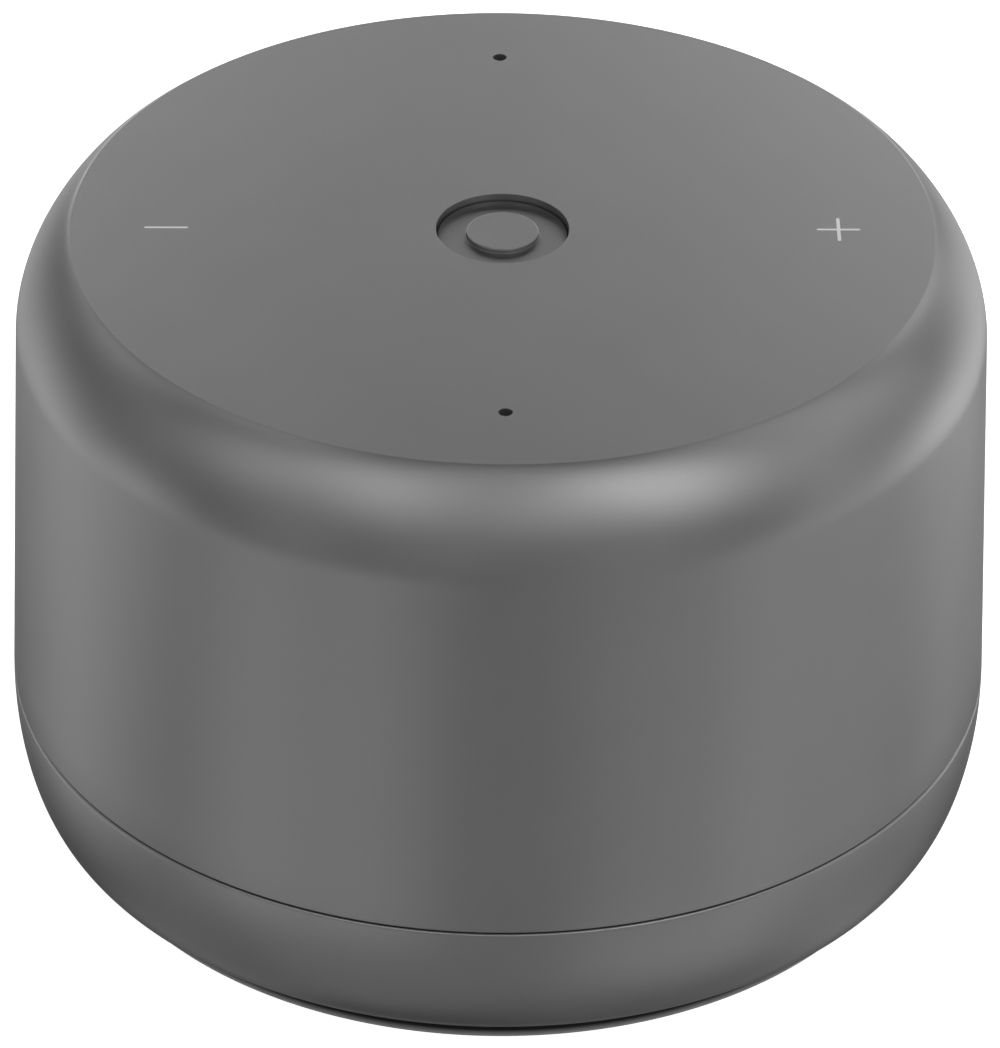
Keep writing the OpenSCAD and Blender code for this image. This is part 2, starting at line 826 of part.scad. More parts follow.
module antenna_leads() {
    plug_z = main_board_top + lead_plug_h + lead_r;
    color("black") for (side = [-1, 1]) wire([
        [side * (antenna_r - lead_r - 0.05), 0, 33],
        [side * (antenna_r - 2), 0, 38],
        [side * (antenna_r - 4), 0, 45],
        [side * (lead_plug_x + 4), 0, plug_z],
        [side * lead_plug_x, 0, plug_z]
    ], lead_r);
}

module inlet_board() {
    depth = inlet_board_y[1] - inlet_board_y[0];
    color("darkgreen") difference() {
        block([inlet_board_w, depth, inlet_board_t], [0, inlet_board_y[0] + depth / 2, inlet_board_z]);
        for (x = [-1, 1]) translate([x * inlet_screw_x, inlet_screw_y, 0])
            disc(small_shaft_r + 0.2, inlet_board_z - cut, inlet_board_z + inlet_board_t + cut);
    }
}

module inlet_board_screws() {
    color("silver") for (x = [-1, 1])
        translate([x * inlet_screw_x, inlet_screw_y, inlet_board_z + inlet_board_t])
            screw_down(small_shaft_r, small_head_r, small_head_h, inlet_board_t + 2.6);
}

module power_socket() {
    color("silver") difference() {
        inlet_bar(socket_w, socket_h, socket_h / 2 - 0.05, pocket_y - socket_l, pocket_y);
        inlet_bar(socket_w - 2 * socket_wall, socket_h - 2 * socket_wall, socket_h / 2 - socket_wall - 0.05,
            pocket_y - socket_l + 0.8, pocket_y + cut);
    }
}

module socket_tongue() {
    tongue = [6.69, 5.2, 0.7];
    color("black") block(tongue,
        [0, pocket_y - socket_l + 0.8 + tongue.y / 2, socket_z - tongue.z / 2]);
}

module inlet_ribbon() {
    low = inlet_board_z + inlet_board_t + ribbon_plug_h / 2;
    high = main_board_z - ribbon_plug_h / 2;
    start_y = inlet_plug_y - ribbon_plug_t / 2 - ribbon_t / 2 - ribbon_gap;
    rise_y = 32;
    bend = 0.4;
    color("peru") rotate([90, 0, 90])
        ribbon([[start_y, low], [rise_y + bend, low], [rise_y, low + bend], [rise_y, high - bend],
            [rise_y + bend, high], [start_y, high]], 9, ribbon_t);
}

outer_shell();
volume_up_mark();
volume_down_mark();
button_cap();
button_plunger();
button_switch();
base_shell();
foot_plate();
rubber_foot();
foot_screws();
shell_screws();
top_board();
top_board_screws();
microphones();
microphone_gaskets();
touch_pads();
touch_chip();
board_connectors();
top_ribbon();
speaker_chamber();
chamber_seal();
chamber_screws();
driver_basket();
driver_gasket();
driver_screws();
magnet_ring();
front_plate();
magnet_yoke();
voice_coil();
speaker_cone();
dust_cap();
cone_surround();
spider();
speaker_terminals();
speaker_wires();
heat_spreader();
thermal_pad();
main_board();
main_board_screws();
processor();
memory_chips();
radio_shield();
power_coil();
capacitors();
radio_antennas();
antenna_leads();
inlet_board();
inlet_board_screws();
power_socket();
socket_tongue();
inlet_ribbon();
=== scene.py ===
import math

import bpy
import bmesh
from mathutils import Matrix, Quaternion, Vector
from mathutils.geometry import delaunay_2d_cdt


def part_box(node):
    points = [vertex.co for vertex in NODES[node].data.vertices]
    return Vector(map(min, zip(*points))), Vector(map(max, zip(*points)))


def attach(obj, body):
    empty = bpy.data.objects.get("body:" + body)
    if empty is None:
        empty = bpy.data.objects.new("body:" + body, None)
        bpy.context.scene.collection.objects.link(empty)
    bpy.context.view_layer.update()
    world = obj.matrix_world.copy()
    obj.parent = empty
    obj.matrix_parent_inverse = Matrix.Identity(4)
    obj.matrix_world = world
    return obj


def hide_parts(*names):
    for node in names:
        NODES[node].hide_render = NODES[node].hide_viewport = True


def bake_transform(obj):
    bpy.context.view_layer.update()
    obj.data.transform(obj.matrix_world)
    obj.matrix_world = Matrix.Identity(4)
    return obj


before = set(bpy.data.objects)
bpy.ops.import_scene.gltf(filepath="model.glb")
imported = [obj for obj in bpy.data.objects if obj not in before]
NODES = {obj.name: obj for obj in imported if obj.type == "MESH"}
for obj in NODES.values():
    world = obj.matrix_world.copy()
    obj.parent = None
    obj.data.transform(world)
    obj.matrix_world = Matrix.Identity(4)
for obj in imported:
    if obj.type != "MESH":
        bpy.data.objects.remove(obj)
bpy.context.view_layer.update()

MM = 0.001
COLLECTION = bpy.context.scene.collection

# ---------------------------------------------------------------- sizes, in metres

# From the frame
SEAM_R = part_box("outer_shell")[1].x
TOP_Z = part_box("outer_shell")[1].z
POST_LOW_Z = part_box("outer_shell")[0].z
LIP_TOP_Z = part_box("base_shell")[1].z
BASE_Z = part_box("base_shell")[0].z
FOOT_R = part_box("rubber_foot")[1].x
FOOT_TOP_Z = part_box("rubber_foot")[1].z
UNDER_TOP_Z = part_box("touch_pads")[1].z
TOP_BOARD_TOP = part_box("touch_pads")[0].z
FLANGE_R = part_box("button_cap")[1].x
BUTTON_TOP_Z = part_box("button_cap")[1].z
BUTTON_LOW_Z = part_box("button_cap")[0].z
MARK_X = (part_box("volume_up_mark")[0].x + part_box("volume_up_mark")[1].x) / 2
MARK_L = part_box("volume_down_mark")[1].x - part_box("volume_down_mark")[0].x
MARK_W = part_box("volume_down_mark")[1].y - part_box("volume_down_mark")[0].y
MARK_LOW_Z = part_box("volume_up_mark")[0].z
DRIVER_HOLE_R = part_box("driver_gasket")[1].x - 4 * MM
FLOOR_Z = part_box("chamber_seal")[0].z
POCKET_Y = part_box("power_socket")[1].y
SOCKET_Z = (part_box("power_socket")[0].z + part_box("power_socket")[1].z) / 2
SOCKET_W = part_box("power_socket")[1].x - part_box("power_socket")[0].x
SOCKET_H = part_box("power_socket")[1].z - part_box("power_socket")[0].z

# Driving dimensions of the part
WALL_DRAFT = 1.15 * MM
WALL_T = 2.2 * MM
SEAM_Z = 17.35 * MM
SEAM_GAP = 0.2 * MM
SHOULDER_W = 5.6 * MM
SHOULDER_H = 10.9 * MM
SHOULDER_TOP_EASE = 0.3   # share of its width by which the curve is pulled out from the flat top
SHOULDER_CREASE = 0.9 * MM    # and how far it is pulled down there, which sets the angle of the crease
SHOULDER_WALL_EASE = 0.47     # share of its height by which it is pulled up from the wall
SHOULDER_NARROWING = 0.1  # how much narrower its inner side is, as a share of the inset
BASE_EDGE_R = 46.9 * MM
BUTTON_HOLE_R = 6.67 * MM
BUTTON_GAP = 0.15 * MM
BUTTON_RECESS = 0.75 * MM
PLATEAU_R = 3.6 * MM
PLATEAU_EDGE = 0.1 * MM
MIC_Y = 34 * MM
MIC_R = 0.7 * MM
PLUG_W = 12.4 * MM
PLUG_H = 6.6 * MM
POCKET_CORNER = 3 * MM
POCKET_WALL = 1.3 * MM
POST_REACH = 40 * MM
POST_R = 3.2 * MM
POST_TOP_Z = 52 * MM
TOP_POST_REACH = 26 * MM
CORNER_ANGLES = [math.radians(a) for a in (45, 135, 225, 315)]

WALL_TOP_R = SEAM_R - WALL_DRAFT
SHOULDER_Z = TOP_Z - SHOULDER_H
WALL_SLOPE = WALL_DRAFT / (SHOULDER_Z - SEAM_Z)
SHELL_LOW_Z = SEAM_Z + SEAM_GAP / 2
BASE_TOP_Z = SEAM_Z - SEAM_GAP / 2
BUTTON_RIM_Z = TOP_Z - BUTTON_RECESS

# Fineness of the meshes
SIDES = 288
BUTTON_SIDES = 144
SMALL_SIDES = 96
HOLE_SIDES = 40           # microphone ports, screw posts and bores
CURVE_STEPS = 44
MERGE = 1e-7              # corners closer than this are joined
SHARP_ANGLE = 35          # edges that turn more than this, in degrees, are shaded sharp
OVERLAP = 0.1 * MM        # how far a post or guide runs into the wall that it stands on

# ---------------------------------------------------------------- camera

CAM_DISTANCE = 0.8
CAM_ELEVATION = math.radians(33.37)
CAM_YAW = math.radians(0.8)
CAM_ROLL = math.radians(0.61)
CAM_HEIGHT_OF_AXIS = 0.035
CAM_AIM_Z = 0.03256
CAM_AIM_RIGHT = 0.06 * MM
CAM_LENS = 268.77
CAM_SENSOR = 36
CAM_NEAR, CAM_FAR = 0.01, 20


def add_camera():
    flat = CAM_DISTANCE * math.cos(CAM_ELEVATION)
    place = Vector((-flat * math.sin(CAM_YAW), -flat * math.cos(CAM_YAW),
                    CAM_HEIGHT_OF_AXIS + CAM_DISTANCE * math.sin(CAM_ELEVATION)))
    aim = Vector((CAM_AIM_RIGHT, 0, CAM_AIM_Z))
    data = bpy.data.cameras.new("camera")
    data.lens = CAM_LENS
    data.sensor_width = CAM_SENSOR
    data.clip_start, data.clip_end = CAM_NEAR, CAM_FAR
    camera = bpy.data.objects.new("camera", data)
    camera.rotation_mode = "QUATERNION"
    camera.rotation_quaternion = (aim - place).to_track_quat("-Z", "Y")
    camera.location = place
    COLLECTION.objects.link(camera)
    camera.rotation_quaternion @= Quaternion((0, 0, 1), CAM_ROLL)
    bpy.context.scene.camera = camera


add_camera()

# ---------------------------------------------------------------- light and floor

LIGHT_DISTANCE = 0.8
LIGHT_AIM_Z = 0.035


def add_light(name, azimuth, elevation, size, power):
    """Rectangular soft light that looks at the hub. Azimuth 0 is in front of it, 90 to its right."""
    az, el = math.radians(azimuth), math.radians(elevation)
    middle = Vector((0, 0, LIGHT_AIM_Z))
    away = Vector((math.cos(el) * math.sin(az), -math.cos(el) * math.cos(az), math.sin(el)))
    place = middle + LIGHT_DISTANCE * away
    data = bpy.data.lights.new(name, "AREA")
    data.shape = "RECTANGLE"
    data.size, data.size_y = size
    data.energy = power
    light = bpy.data.objects.new(name, data)
    light.location = place
    light.rotation_euler = (middle - place).to_track_quat("-Z", "Y").to_euler()
    light.visible_camera = False
    COLLECTION.objects.link(light)


# Width and height of each kind of light
SOFT_BOX = (0.3, 0.3)
WIDE_BOX = (0.55, 0.55)
TALL_STRIP = (0.22, 0.9)
MID_STRIP = (0.22, 0.7)
SHORT_STRIP = (0.22, 0.6)
LIGHTS = [
    # size, azimuth and elevation in degrees, power in watts
    (SOFT_BOX, -120, -60, 0.135),
    (SOFT_BOX, -60, -60, 0.123),
    (SOFT_BOX, 0, -60, 0.079),
    (SOFT_BOX, 120, -60, 0.112),
    (SOFT_BOX, 31.8, -45, 0.324),
    (SOFT_BOX, -111.4, -30, 0.217),
    (SOFT_BOX, -60, -30, 0.365),
    (SOFT_BOX, -42.9, -30, 0.167),
    (SOFT_BOX, -25.7, -30, 0.355),
    (SOFT_BOX, -133, -15, 0.193),
    (SOFT_BOX, -117.4, -15, 0.243),
    (SOFT_BOX, -86.1, -15, 0.468),
    (SOFT_BOX, 101.7, -15, 0.426),
    (SOFT_BOX, 117.4, -15, 0.546),
    (SOFT_BOX, 148.7, -15, 0.284),
    (SOFT_BOX, -45, 0, 0.234),
    (SOFT_BOX, -15, 0, 0.175),
    (SOFT_BOX, -180, 15, 0.182),
    (SOFT_BOX, -164.3, 15, 1.526),
    (SOFT_BOX, -86.1, 15, 0.175),
    (SOFT_BOX, 101.7, 15, 0.358),
    (SOFT_BOX, 164.3, 15, 1.69),
    (SOFT_BOX, -111.4, 30, 0.398),
    (SOFT_BOX, -60, 30, 0.532),
    (SOFT_BOX, -25.7, 30, 0.515),
    (SOFT_BOX, 8.6, 30, 0.43),
    (SOFT_BOX, 42.9, 30, 1.094),
    (SOFT_BOX, 128.6, 30, 0.48),
    (SOFT_BOX, -31.8, 45, 0.723),
    (SOFT_BOX, 31.8, 45, 0.967),
    (SOFT_BOX, -90, 60, 0.478),
    (WIDE_BOX, -120, -15, 0.483),
    (WIDE_BOX, 30, -15, 0.553),
    (TALL_STRIP, -150, 0, 0.326),
    (SHORT_STRIP, -90, -35, 0.162),
    (SHORT_STRIP, 0, -35, 0.193),
    (SHORT_STRIP, 60, -35, 0.534),
    (TALL_STRIP, 75, 0, 0.888),
    (MID_STRIP, 90, 45, 0.908),
    (SHORT_STRIP, 90, -35, 0.313),
    (SHORT_STRIP, 120, -35, 0.217),
    (TALL_STRIP, 135, 0, 0.905),
    (SOFT_BOX, -120, 45, 0.054),
    (SOFT_BOX, 120, 45, 0.08),
    (SOFT_BOX, 0, 60, 0.151),
    (SOFT_BOX, 60, 75, 0.043),
    (SOFT_BOX, 0, 75, 0.124),
    (SOFT_BOX, -130, 15, 0.057),
    (SOFT_BOX, -135, 30, 0.221),
    (SOFT_BOX, -155, -15, 0.108),
    (SOFT_BOX, -60, 15, 0.047),
    (SOFT_BOX, 60, 15, 0.081),
    (SOFT_BOX, 0, 0, 0.081),
    (SOFT_BOX, 30, 0, 0.083),
    (SOFT_BOX, 60, -75, 0.079),
    (SOFT_BOX, 180, -75, 0.033),
    (SOFT_BOX, -30, -60, 0.108),
    (SOFT_BOX, 180, -60, 0.077),
    (SOFT_BOX, -165, -15, 0.109),
    (SOFT_BOX, 165, -15, 0.094),
]
for number, (size, azimuth, elevation, power) in enumerate(LIGHTS):
    add_light(f"soft_light_{number}", azimuth, elevation, size, power)


def set_value(node, name, value):
    node.inputs[name].default_value = value


def grey(value):
    return (value, value, value)


def add_world():
    """White backdrop that only the camera sees: all the light comes from the soft boxes."""
    world = bpy.data.worlds.new("studio")
    world.use_nodes = True
    set_value(world.node_tree.nodes["Background"], "Color", (*grey(1), 1))
    bpy.context.scene.world = world
    for kind in ("diffuse", "glossy", "transmission", "scatter"):
        setattr(world.cycles_visibility, kind, False)


add_world()
bpy.context.scene.view_settings.view_transform = "Standard"

FLOOR_REACH = 3.0
FLOOR_DROP = 0.02 * MM    # keeps the floor and the underside of the foot out of one plane
FLOOR_GREY = 0.86
FLOOR_GLOW = 0.8


def add_floor():
    """Pale paper. The light comes from all round, from below too, so the floor is there for the camera alone:
    it throws no light, reflection or shadow on the hub."""
    mesh = bpy.data.meshes.new("floor")
    far = FLOOR_REACH
    corners = [(x, y, -FLOOR_DROP) for x, y in ((-far, -far), (far, -far), (far, far), (-far, far))]
    mesh.from_pydata(corners, [], [(0, 1, 2, 3)])
    floor = bpy.data.objects.new("floor", mesh)
    COLLECTION.objects.link(floor)
    paint = bpy.data.materials.new("floor_paper")
    paint.use_nodes = True
    bsdf = paint.node_tree.nodes["Principled BSDF"]
    set_value(bsdf, "Base Color", (*grey(FLOOR_GREY), 1))
    set_value(bsdf, "Roughness", 0.9)
    set_value(bsdf, "Specular IOR Level", 0.1)
    set_value(bsdf, "Emission Color", (*grey(1), 1))
    set_value(bsdf, "Emission Strength", FLOOR_GLOW)
    mesh.materials.append(paint)
    floor.visible_diffuse = False
    floor.visible_glossy = False
    floor.visible_shadow = False


add_floor()

# ---------------------------------------------------------------- materials

NOISE_SPAN = (0.3, 0.7)   # noise seldom leaves this span
EDGE_SPAN = (0.53, 0.6)   # pointiness at which edge wear starts and at which it is full
EDGE_WEAR = 0.5           # how much of the worn colour shows at most
MIX_FACTOR, MIX_LOW, MIX_HIGH, MIX_RESULT = 0, 6, 7, 2    # places of the colour sockets on a mix node


class Finish:
    """A Principled material whose patterns are laid out in object space, in metres."""

    def __init__(self, name):
        self.material = bpy.data.materials.new(name)
        self.material.use_nodes = True
        self.tree = self.material.node_tree
        self.bsdf = self.tree.nodes["Principled BSDF"]
        self.coords = self.tree.nodes.new("ShaderNodeTexCoord").outputs["Object"]
        self.normal = None

    def node(self, kind, **values):
        node = self.tree.nodes.new(kind)
        for key, value in values.items():
            if hasattr(node, key):
                setattr(node, key, value)
            else:
                node.inputs[key.replace("_", " ")].default_value = value
        return node

    def link(self, source, target):
        self.tree.links.new(source, target)

    def noise(self, pitch, detail=2.0, stretch=(1, 1, 1), roughness=0.5):
        """Noise whose blobs are about pitch metres across, as a number from 0 to 1."""
        mapping = self.node("ShaderNodeMapping")
        mapping.inputs["Scale"].default_value = stretch
        self.link(self.coords, mapping.inputs["Vector"])
        noise = self.node("ShaderNodeTexNoise", Scale=1 / pitch, Detail=detail, Roughness=roughness)
        self.link(mapping.outputs["Vector"], noise.inputs["Vector"])
        return noise.outputs["Fac"]

    def remap(self, value, from_min, from_max, to_min, to_max):
        remap = self.node("ShaderNodeMapRange", From_Min=from_min, From_Max=from_max, To_Min=to_min,
                          To_Max=to_max)
        self.link(value, remap.inputs["Value"])
        return remap.outputs["Result"]

    def spread(self, noise, low, high):
        """Noise stretched to run from low to high."""
        return self.remap(noise, *NOISE_SPAN, low, high)

    def by_height(self, from_z, to_z):
        """Runs from 0 at the height from_z to 1 at the height to_z."""
        axes = self.node("ShaderNodeSeparateXYZ")
        self.link(self.coords, axes.inputs["Vector"])
        return self.remap(axes.outputs["Z"], from_z, to_z, 0, 1)

    def mix(self, fac, low, high):
        """Colour between low and high; each is a colour or a socket."""
        mix = self.tree.nodes.new("ShaderNodeMix")
        mix.data_type = "RGBA"
        for index, colour in ((MIX_LOW, low), (MIX_HIGH, high)):
            if isinstance(colour, bpy.types.NodeSocket):
                self.link(colour, mix.inputs[index])
            else:
                mix.inputs[index].default_value = (*colour, 1)
        self.link(fac, mix.inputs[MIX_FACTOR])
        return mix.outputs[MIX_RESULT]

    def colour(self, socket):
        self.link(socket, self.bsdf.inputs["Base Color"])

    def roughness(self, value, low, high):
        self.link(self.spread(value, low, high), self.bsdf.inputs["Roughness"])

    def bump(self, height, distance, strength=1.0):
        bump = self.node("ShaderNodeBump", Distance=distance, Strength=strength)
        self.link(height, bump.inputs["Height"])
        if self.normal is not None:
            self.link(self.normal, bump.inputs["Normal"])
        self.normal = bump.outputs["Normal"]
        self.link(self.normal, self.bsdf.inputs["Normal"])

    def worn_edges(self, base, worn):
        """Mixes base towards worn where the surface turns sharply outwards."""
        pointiness = self.tree.nodes.new("ShaderNodeNewGeometry").outputs["Pointiness"]
        return self.mix(self.remap(pointiness, *EDGE_SPAN, 0, EDGE_WEAR), base, worn)


def plain_finish(name, colour, rough=(0.4, 0.55), spread=0.08, pitch=3 * MM, grain=None, metallic=0.0,
                 stretch=(1, 1, 1), wear=None, specular=0.5):
    """Mottled colour, uneven gloss and a fine surface grain, for a moulded, painted or metal surface.
    Rough is the lowest and highest roughness, and grain is a pitch and a depth."""
    finish = Finish(name)
    set_value(finish.bsdf, "Metallic", metallic)
    set_value(finish.bsdf, "Specular IOR Level", specular)
    broad = finish.noise(pitch, detail=3, stretch=stretch)
    low = [c * (1 - spread) for c in colour]
    high = [min(1, c * (1 + spread)) for c in colour]
    tone = finish.mix(finish.spread(broad, 0, 1), low, high)
    if wear is not None:
        tone = finish.worn_edges(tone, wear)
    finish.colour(tone)
    finish.roughness(broad, *rough)
    if grain:
        grain_pitch, grain_depth = grain
        finish.bump(finish.noise(grain_pitch, detail=2, stretch=stretch), grain_depth)
    return finish.material


SHELL_GREY = 0.2
FOOT_PAINTED_SHADE_Z = 0.9 * MM     # height of the foot's painted shade; below it, painted light grows to its lower rim


def shell_paint(name, painted_shade_between=None):
    """Satin soft-touch coat: very even grey, with faint cloudiness and a fine powdery grain. An optional
    pair of heights paints shade: the coat is painted a little darker below the first than above the second."""
    finish = Finish(name)
    cloud = finish.noise(9 * MM, detail=3)
    fine = finish.noise(0.35 * MM, detail=2)
    tone = finish.mix(finish.spread(cloud, 0, 1), grey(SHELL_GREY * 0.985), grey(SHELL_GREY * 1.015))
    tone = finish.mix(finish.spread(fine, 0, 0.06), tone, grey(SHELL_GREY * 1.25))
    # painted shade, darker low down
    if painted_shade_between is not None:
        tone = finish.mix(finish.by_height(*painted_shade_between), grey(SHELL_GREY * 0.85), tone)
    finish.colour(tone)
    set_value(finish.bsdf, "Metallic", 0.9)
    finish.roughness(cloud, 0.41, 0.43)
    finish.bump(fine, 0.004 * MM, 0.5)
    return finish.material


PAINT = shell_paint("satin_shell_paint")
# The button's ring round its plateau, down in the recess, gets painted shade.
BUTTON_PAINT = shell_paint("satin_button_paint", (BUTTON_RIM_Z + PLATEAU_EDGE, BUTTON_TOP_Z - PLATEAU_EDGE))
MARK_INK = plain_finish("mark_ink", grey(0.62), rough=(0.45, 0.6), spread=0.05, pitch=0.5 * MM)


def foot_rubber():
    """Matt black rubber. Painted shade makes it near black high up, painted light paler at its lower rim."""
    finish = Finish("foot_rubber")
    set_value(finish.bsdf, "Specular IOR Level", 0.15)
    mottle = finish.noise(2 * MM, detail=3)
    # painted shade, near black from that height up, and painted light towards the lower rim
    tone = finish.mix(finish.by_height(FOOT_PAINTED_SHADE_Z, 0), grey(0.002), grey(0.3))
    tone = finish.mix(finish.spread(mottle, 0, 0.15), tone, grey(0.02))
    finish.colour(tone)
    finish.roughness(mottle, 0.6, 0.75)
    finish.bump(finish.noise(0.15 * MM), 0.01 * MM)
    return finish.material


RUBBER = foot_rubber()

# ---------------------------------------------------------------- mesh building


def cubic(a, b, c, d, t):
    """Point at t on a cubic curve from a to d, pulled by b and c."""
    s = 1 - t
    weights = (s ** 3, 3 * s * s * t, 3 * s * t * t, t ** 3)
    return tuple(sum(w * p[k] for w, p in zip(weights, (a, b, c, d))) for k in range(2))


def curve(a, b, c, d, steps=CURVE_STEPS):
    return [cubic(a, b, c, d, i / steps) for i in range(steps + 1)]


MOST_OF_EDGE = 0.49       # the most of an edge that the rounding of one of its corners may take


def rounded(points, steps=6):
    """Profile with its corners rounded: each point is (radius, height) or (radius, height, fillet)."""
    out = []
    for i, point in enumerate(points):
        if len(point) == 2 or i in (0, len(points) - 1):
            out.append(point[:2])
            continue
        corner = Vector(point[:2])
        before = Vector(points[i - 1][:2]) - corner
        after = Vector(points[i + 1][:2]) - corner
        half = before.angle(after) / 2
        reach = min(point[2] / math.tan(half), before.length * MOST_OF_EDGE, after.length * MOST_OF_EDGE)
        start = corner + before.normalized() * reach
        end = corner + after.normalized() * reach
        for k in range(steps + 1):
            t = k / steps
            out.append(tuple((1 - t) ** 2 * start + 2 * t * (1 - t) * corner + t * t * end))
    return out


def circle(r, sides=SMALL_SIDES, at=(0, 0)):
    return [(at[0] + r * math.cos(math.tau * i / sides), at[1] + r * math.sin(math.tau * i / sides))
            for i in range(sides)]


def stroke_end(length, r, steps=8):
    """Half circle round the right-hand end of a stroke along X, from its lower side to its upper one."""
    reach = length / 2 - r
    angles = [math.pi * k / steps for k in range(steps + 1)]
    return [(reach + r * math.sin(a), -r * math.cos(a)) for a in angles]


def capsule(length, width):
    """Outline of a stroke along X with round ends."""
    right = stroke_end(length, width / 2)
    return right + [(-x, -y) for x, y in right]


def cross(length, width):
    """Outline of a plus made of two strokes with round ends."""
    r = width / 2
    outline = []
    for quarter in range(4):
        turn = math.pi / 2 * quarter
        cos, sin = math.cos(turn), math.sin(turn)
        outline += [(x * cos - y * sin, x * sin + y * cos) for x, y in stroke_end(length, r) + [(r, r)]]
    return outline


def rounded_rect(width, height, corner, steps=10, straight=8):
    """Outline of a rounded rectangle, with points along its straight sides too."""
    out = []
    x, y = width / 2 - corner, height / 2 - corner
    for cx, cy, start in ((x, -y, -90), (x, y, 0), (-x, y, 90), (-x, -y, 180)):
        arc = [(cx + corner * math.cos(math.radians(start + 90 * k / steps)),
                cy + corner * math.sin(math.radians(start + 90 * k / steps))) for k in range(steps + 1)]
        if out:
            out += between(out[-1], arc[0], straight)
        out += arc
    return out + between(out[-1], out[0], straight)


def between(a, b, count):
    """Points that cut the line from a to b into count equal lengths, without its ends."""
    return [(a[0] + (b[0] - a[0]) * k / count, a[1] + (b[1] - a[1]) * k / count) for k in range(1, count)]


def moved(loop, dx, dy):
    return [(x + dx, y + dy) for x, y in loop]


def inside(point, loop):
    """Whether a flat point is inside a loop: a line from it then crosses the loop an odd number of times."""
    x, y = point
    hit = False
    for (x1, y1), (x2, y2) in zip(loop, loop[1:] + loop[:1]):
        if (y1 > y) != (y2 > y) and x < (x2 - x1) * (y - y1) / (y2 - y1) + x1:
            hit = not hit
    return hit


def spin(bm, profile, sides=SIDES, at=(0, 0), closed=False):
    """Skin swept round a vertical axis by (radius, height) points. A point on the axis is a pole."""
    rings = []
    for r, z in profile:
        if r < MERGE:
            rings.append([bm.verts.new((at[0], at[1], z))])
        else:
            rings.append([bm.verts.new((x, y, z)) for x, y in circle(r, sides, at)])
    pairs = list(zip(rings, rings[1:]))
    if closed:
        pairs.append((rings[-1], rings[0]))
    for low, high in pairs:
        for i in range(sides):
            j = (i + 1) % sides
            if len(low) == 1 and len(high) == 1:
                break
            if len(low) == 1:
                bm.faces.new((low[0], high[j], high[i]))
            elif len(high) == 1:
                bm.faces.new((low[i], low[j], high[0]))
            else:
                bm.faces.new((low[i], low[j], high[j], high[i]))


FILL_NEAR = 1e-6          # in mm: points closer than this count as one when a flat face is filled


def fill(bm, outer, holes, place, loose=(), guides=()):
    """Triangles inside the outer loop and outside the holes; place turns a flat point into a 3-D one.
    Guides are extra loops that the triangles must follow, and loose points are used as they are."""
    points, edges = [], []
    for loop in [outer] + list(holes) + list(guides):
        first = len(points)
        points += [Vector(p) for p in loop]
        edges += [(first + i, first + (i + 1) % len(loop)) for i in range(len(loop))]
    points += [Vector(p) for p in loose]
    unit = 1 / MM
    verts, _, faces, *_ = delaunay_2d_cdt([p * unit for p in points], edges, [], 0, FILL_NEAR)
    corners = [bm.verts.new(place(v.x / unit, v.y / unit)) for v in verts]
    for face in faces:
        middle = sum((verts[i] for i in face), Vector((0, 0))) / len(face) / unit
        if inside(middle, outer) and not any(inside(middle, hole) for hole in holes):
            bm.faces.new([corners[i] for i in face])


def bridge(bm, loops):
    """Quads between successive loops of 3-D points, all with the same count."""
    rings = [[bm.verts.new(p) for p in loop] for loop in loops]
    for low, high in zip(rings, rings[1:]):
        for i in range(len(low)):
            j = (i + 1) % len(low)
            bm.faces.new((low[i], low[j], high[j], high[i]))


def box_solid(bm, low, high, turn=0.0):
    """Closed box between two corners, turned about Z."""
    cos, sin = math.cos(turn), math.sin(turn)
    base = ((low[0], low[1]), (high[0], low[1]), (high[0], high[1]), (low[0], high[1]))
    corners = [bm.verts.new((x * cos - y * sin, x * sin + y * cos, z))
               for z in (low[2], high[2]) for x, y in base]
    for face in ((0, 1, 2, 3), (4, 5, 6, 7), (0, 1, 5, 4), (1, 2, 6, 5), (2, 3, 7, 6), (3, 0, 4, 7)):
        bm.faces.new([corners[i] for i in face])


def finished_mesh(name, bm, material, sharp=SHARP_ANGLE):
    bmesh.ops.remove_doubles(bm, verts=bm.verts, dist=MERGE)
    bmesh.ops.dissolve_degenerate(bm, edges=bm.edges, dist=MERGE)
    bmesh.ops.recalc_face_normals(bm, faces=bm.faces)
    mesh = bpy.data.meshes.new(name)
    bm.to_mesh(mesh)
    bm.free()
    mesh.shade_smooth()
    mesh.set_sharp_from_angle(angle=math.radians(sharp))
    mesh.materials.append(material)
    piece = bpy.data.objects.new(name, mesh)
    COLLECTION.objects.link(piece)
    return piece


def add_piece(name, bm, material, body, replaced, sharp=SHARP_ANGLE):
    piece = finished_mesh(name, bm, material, sharp)
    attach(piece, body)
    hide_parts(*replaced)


def polar(r, a):
    return (r * math.cos(a), r * math.sin(a))


# ---------------------------------------------------------------- outer shell

HOLE_RIM = 0.08 * MM      # rounding of the button hole's rim
MIC_RIM = 0.1 * MM
SUPPORT = 0.1 * MM        # flat ring that keeps the rounding of a rim from spreading
CREASE_ANGLE = 20         # the crease round the flat top, at 28 degrees, stays crisp
INNER_STEPS = 16
WALL_ROWS = 10
SHELL_EDGE = 0.2 * MM     # rounding of the shell's lower edge
TOP_SPACING = 1.1 * MM    # between the loose points of the flat top
TOP_CLEARANCE = 0.45 * MM     # from those points to a hole
GUIDE_GAP = 0.3 * MM      # round the button's flange
GUIDE_DEPTH = 2.6 * MM
GUIDE_T = 1.2 * MM
SHELL_SCREW_R = 1.25 * MM     # pilot holes in the posts for the shell screws
SHELL_SCREW_DEPTH = 14 * MM
BOARD_SCREW_R = 1 * MM    # pilot holes in the posts for the top board's screws
BOARD_SCREW_DEPTH = 4.2 * MM
RIB_INNER_R = POST_REACH + 2.8 * MM
RIB_OUTER_R = WALL_TOP_R - 0.6 * MM
RIB_HALF_T = 1 * MM
RIB_LOW_Z = 20.4 * MM
POST_MOUTH = 0.15 * MM    # roundings of a post's hole and of its end
POST_EDGE = 0.2 * MM
PLUS = moved(cross(MARK_L, MARK_W), MARK_X, 0)
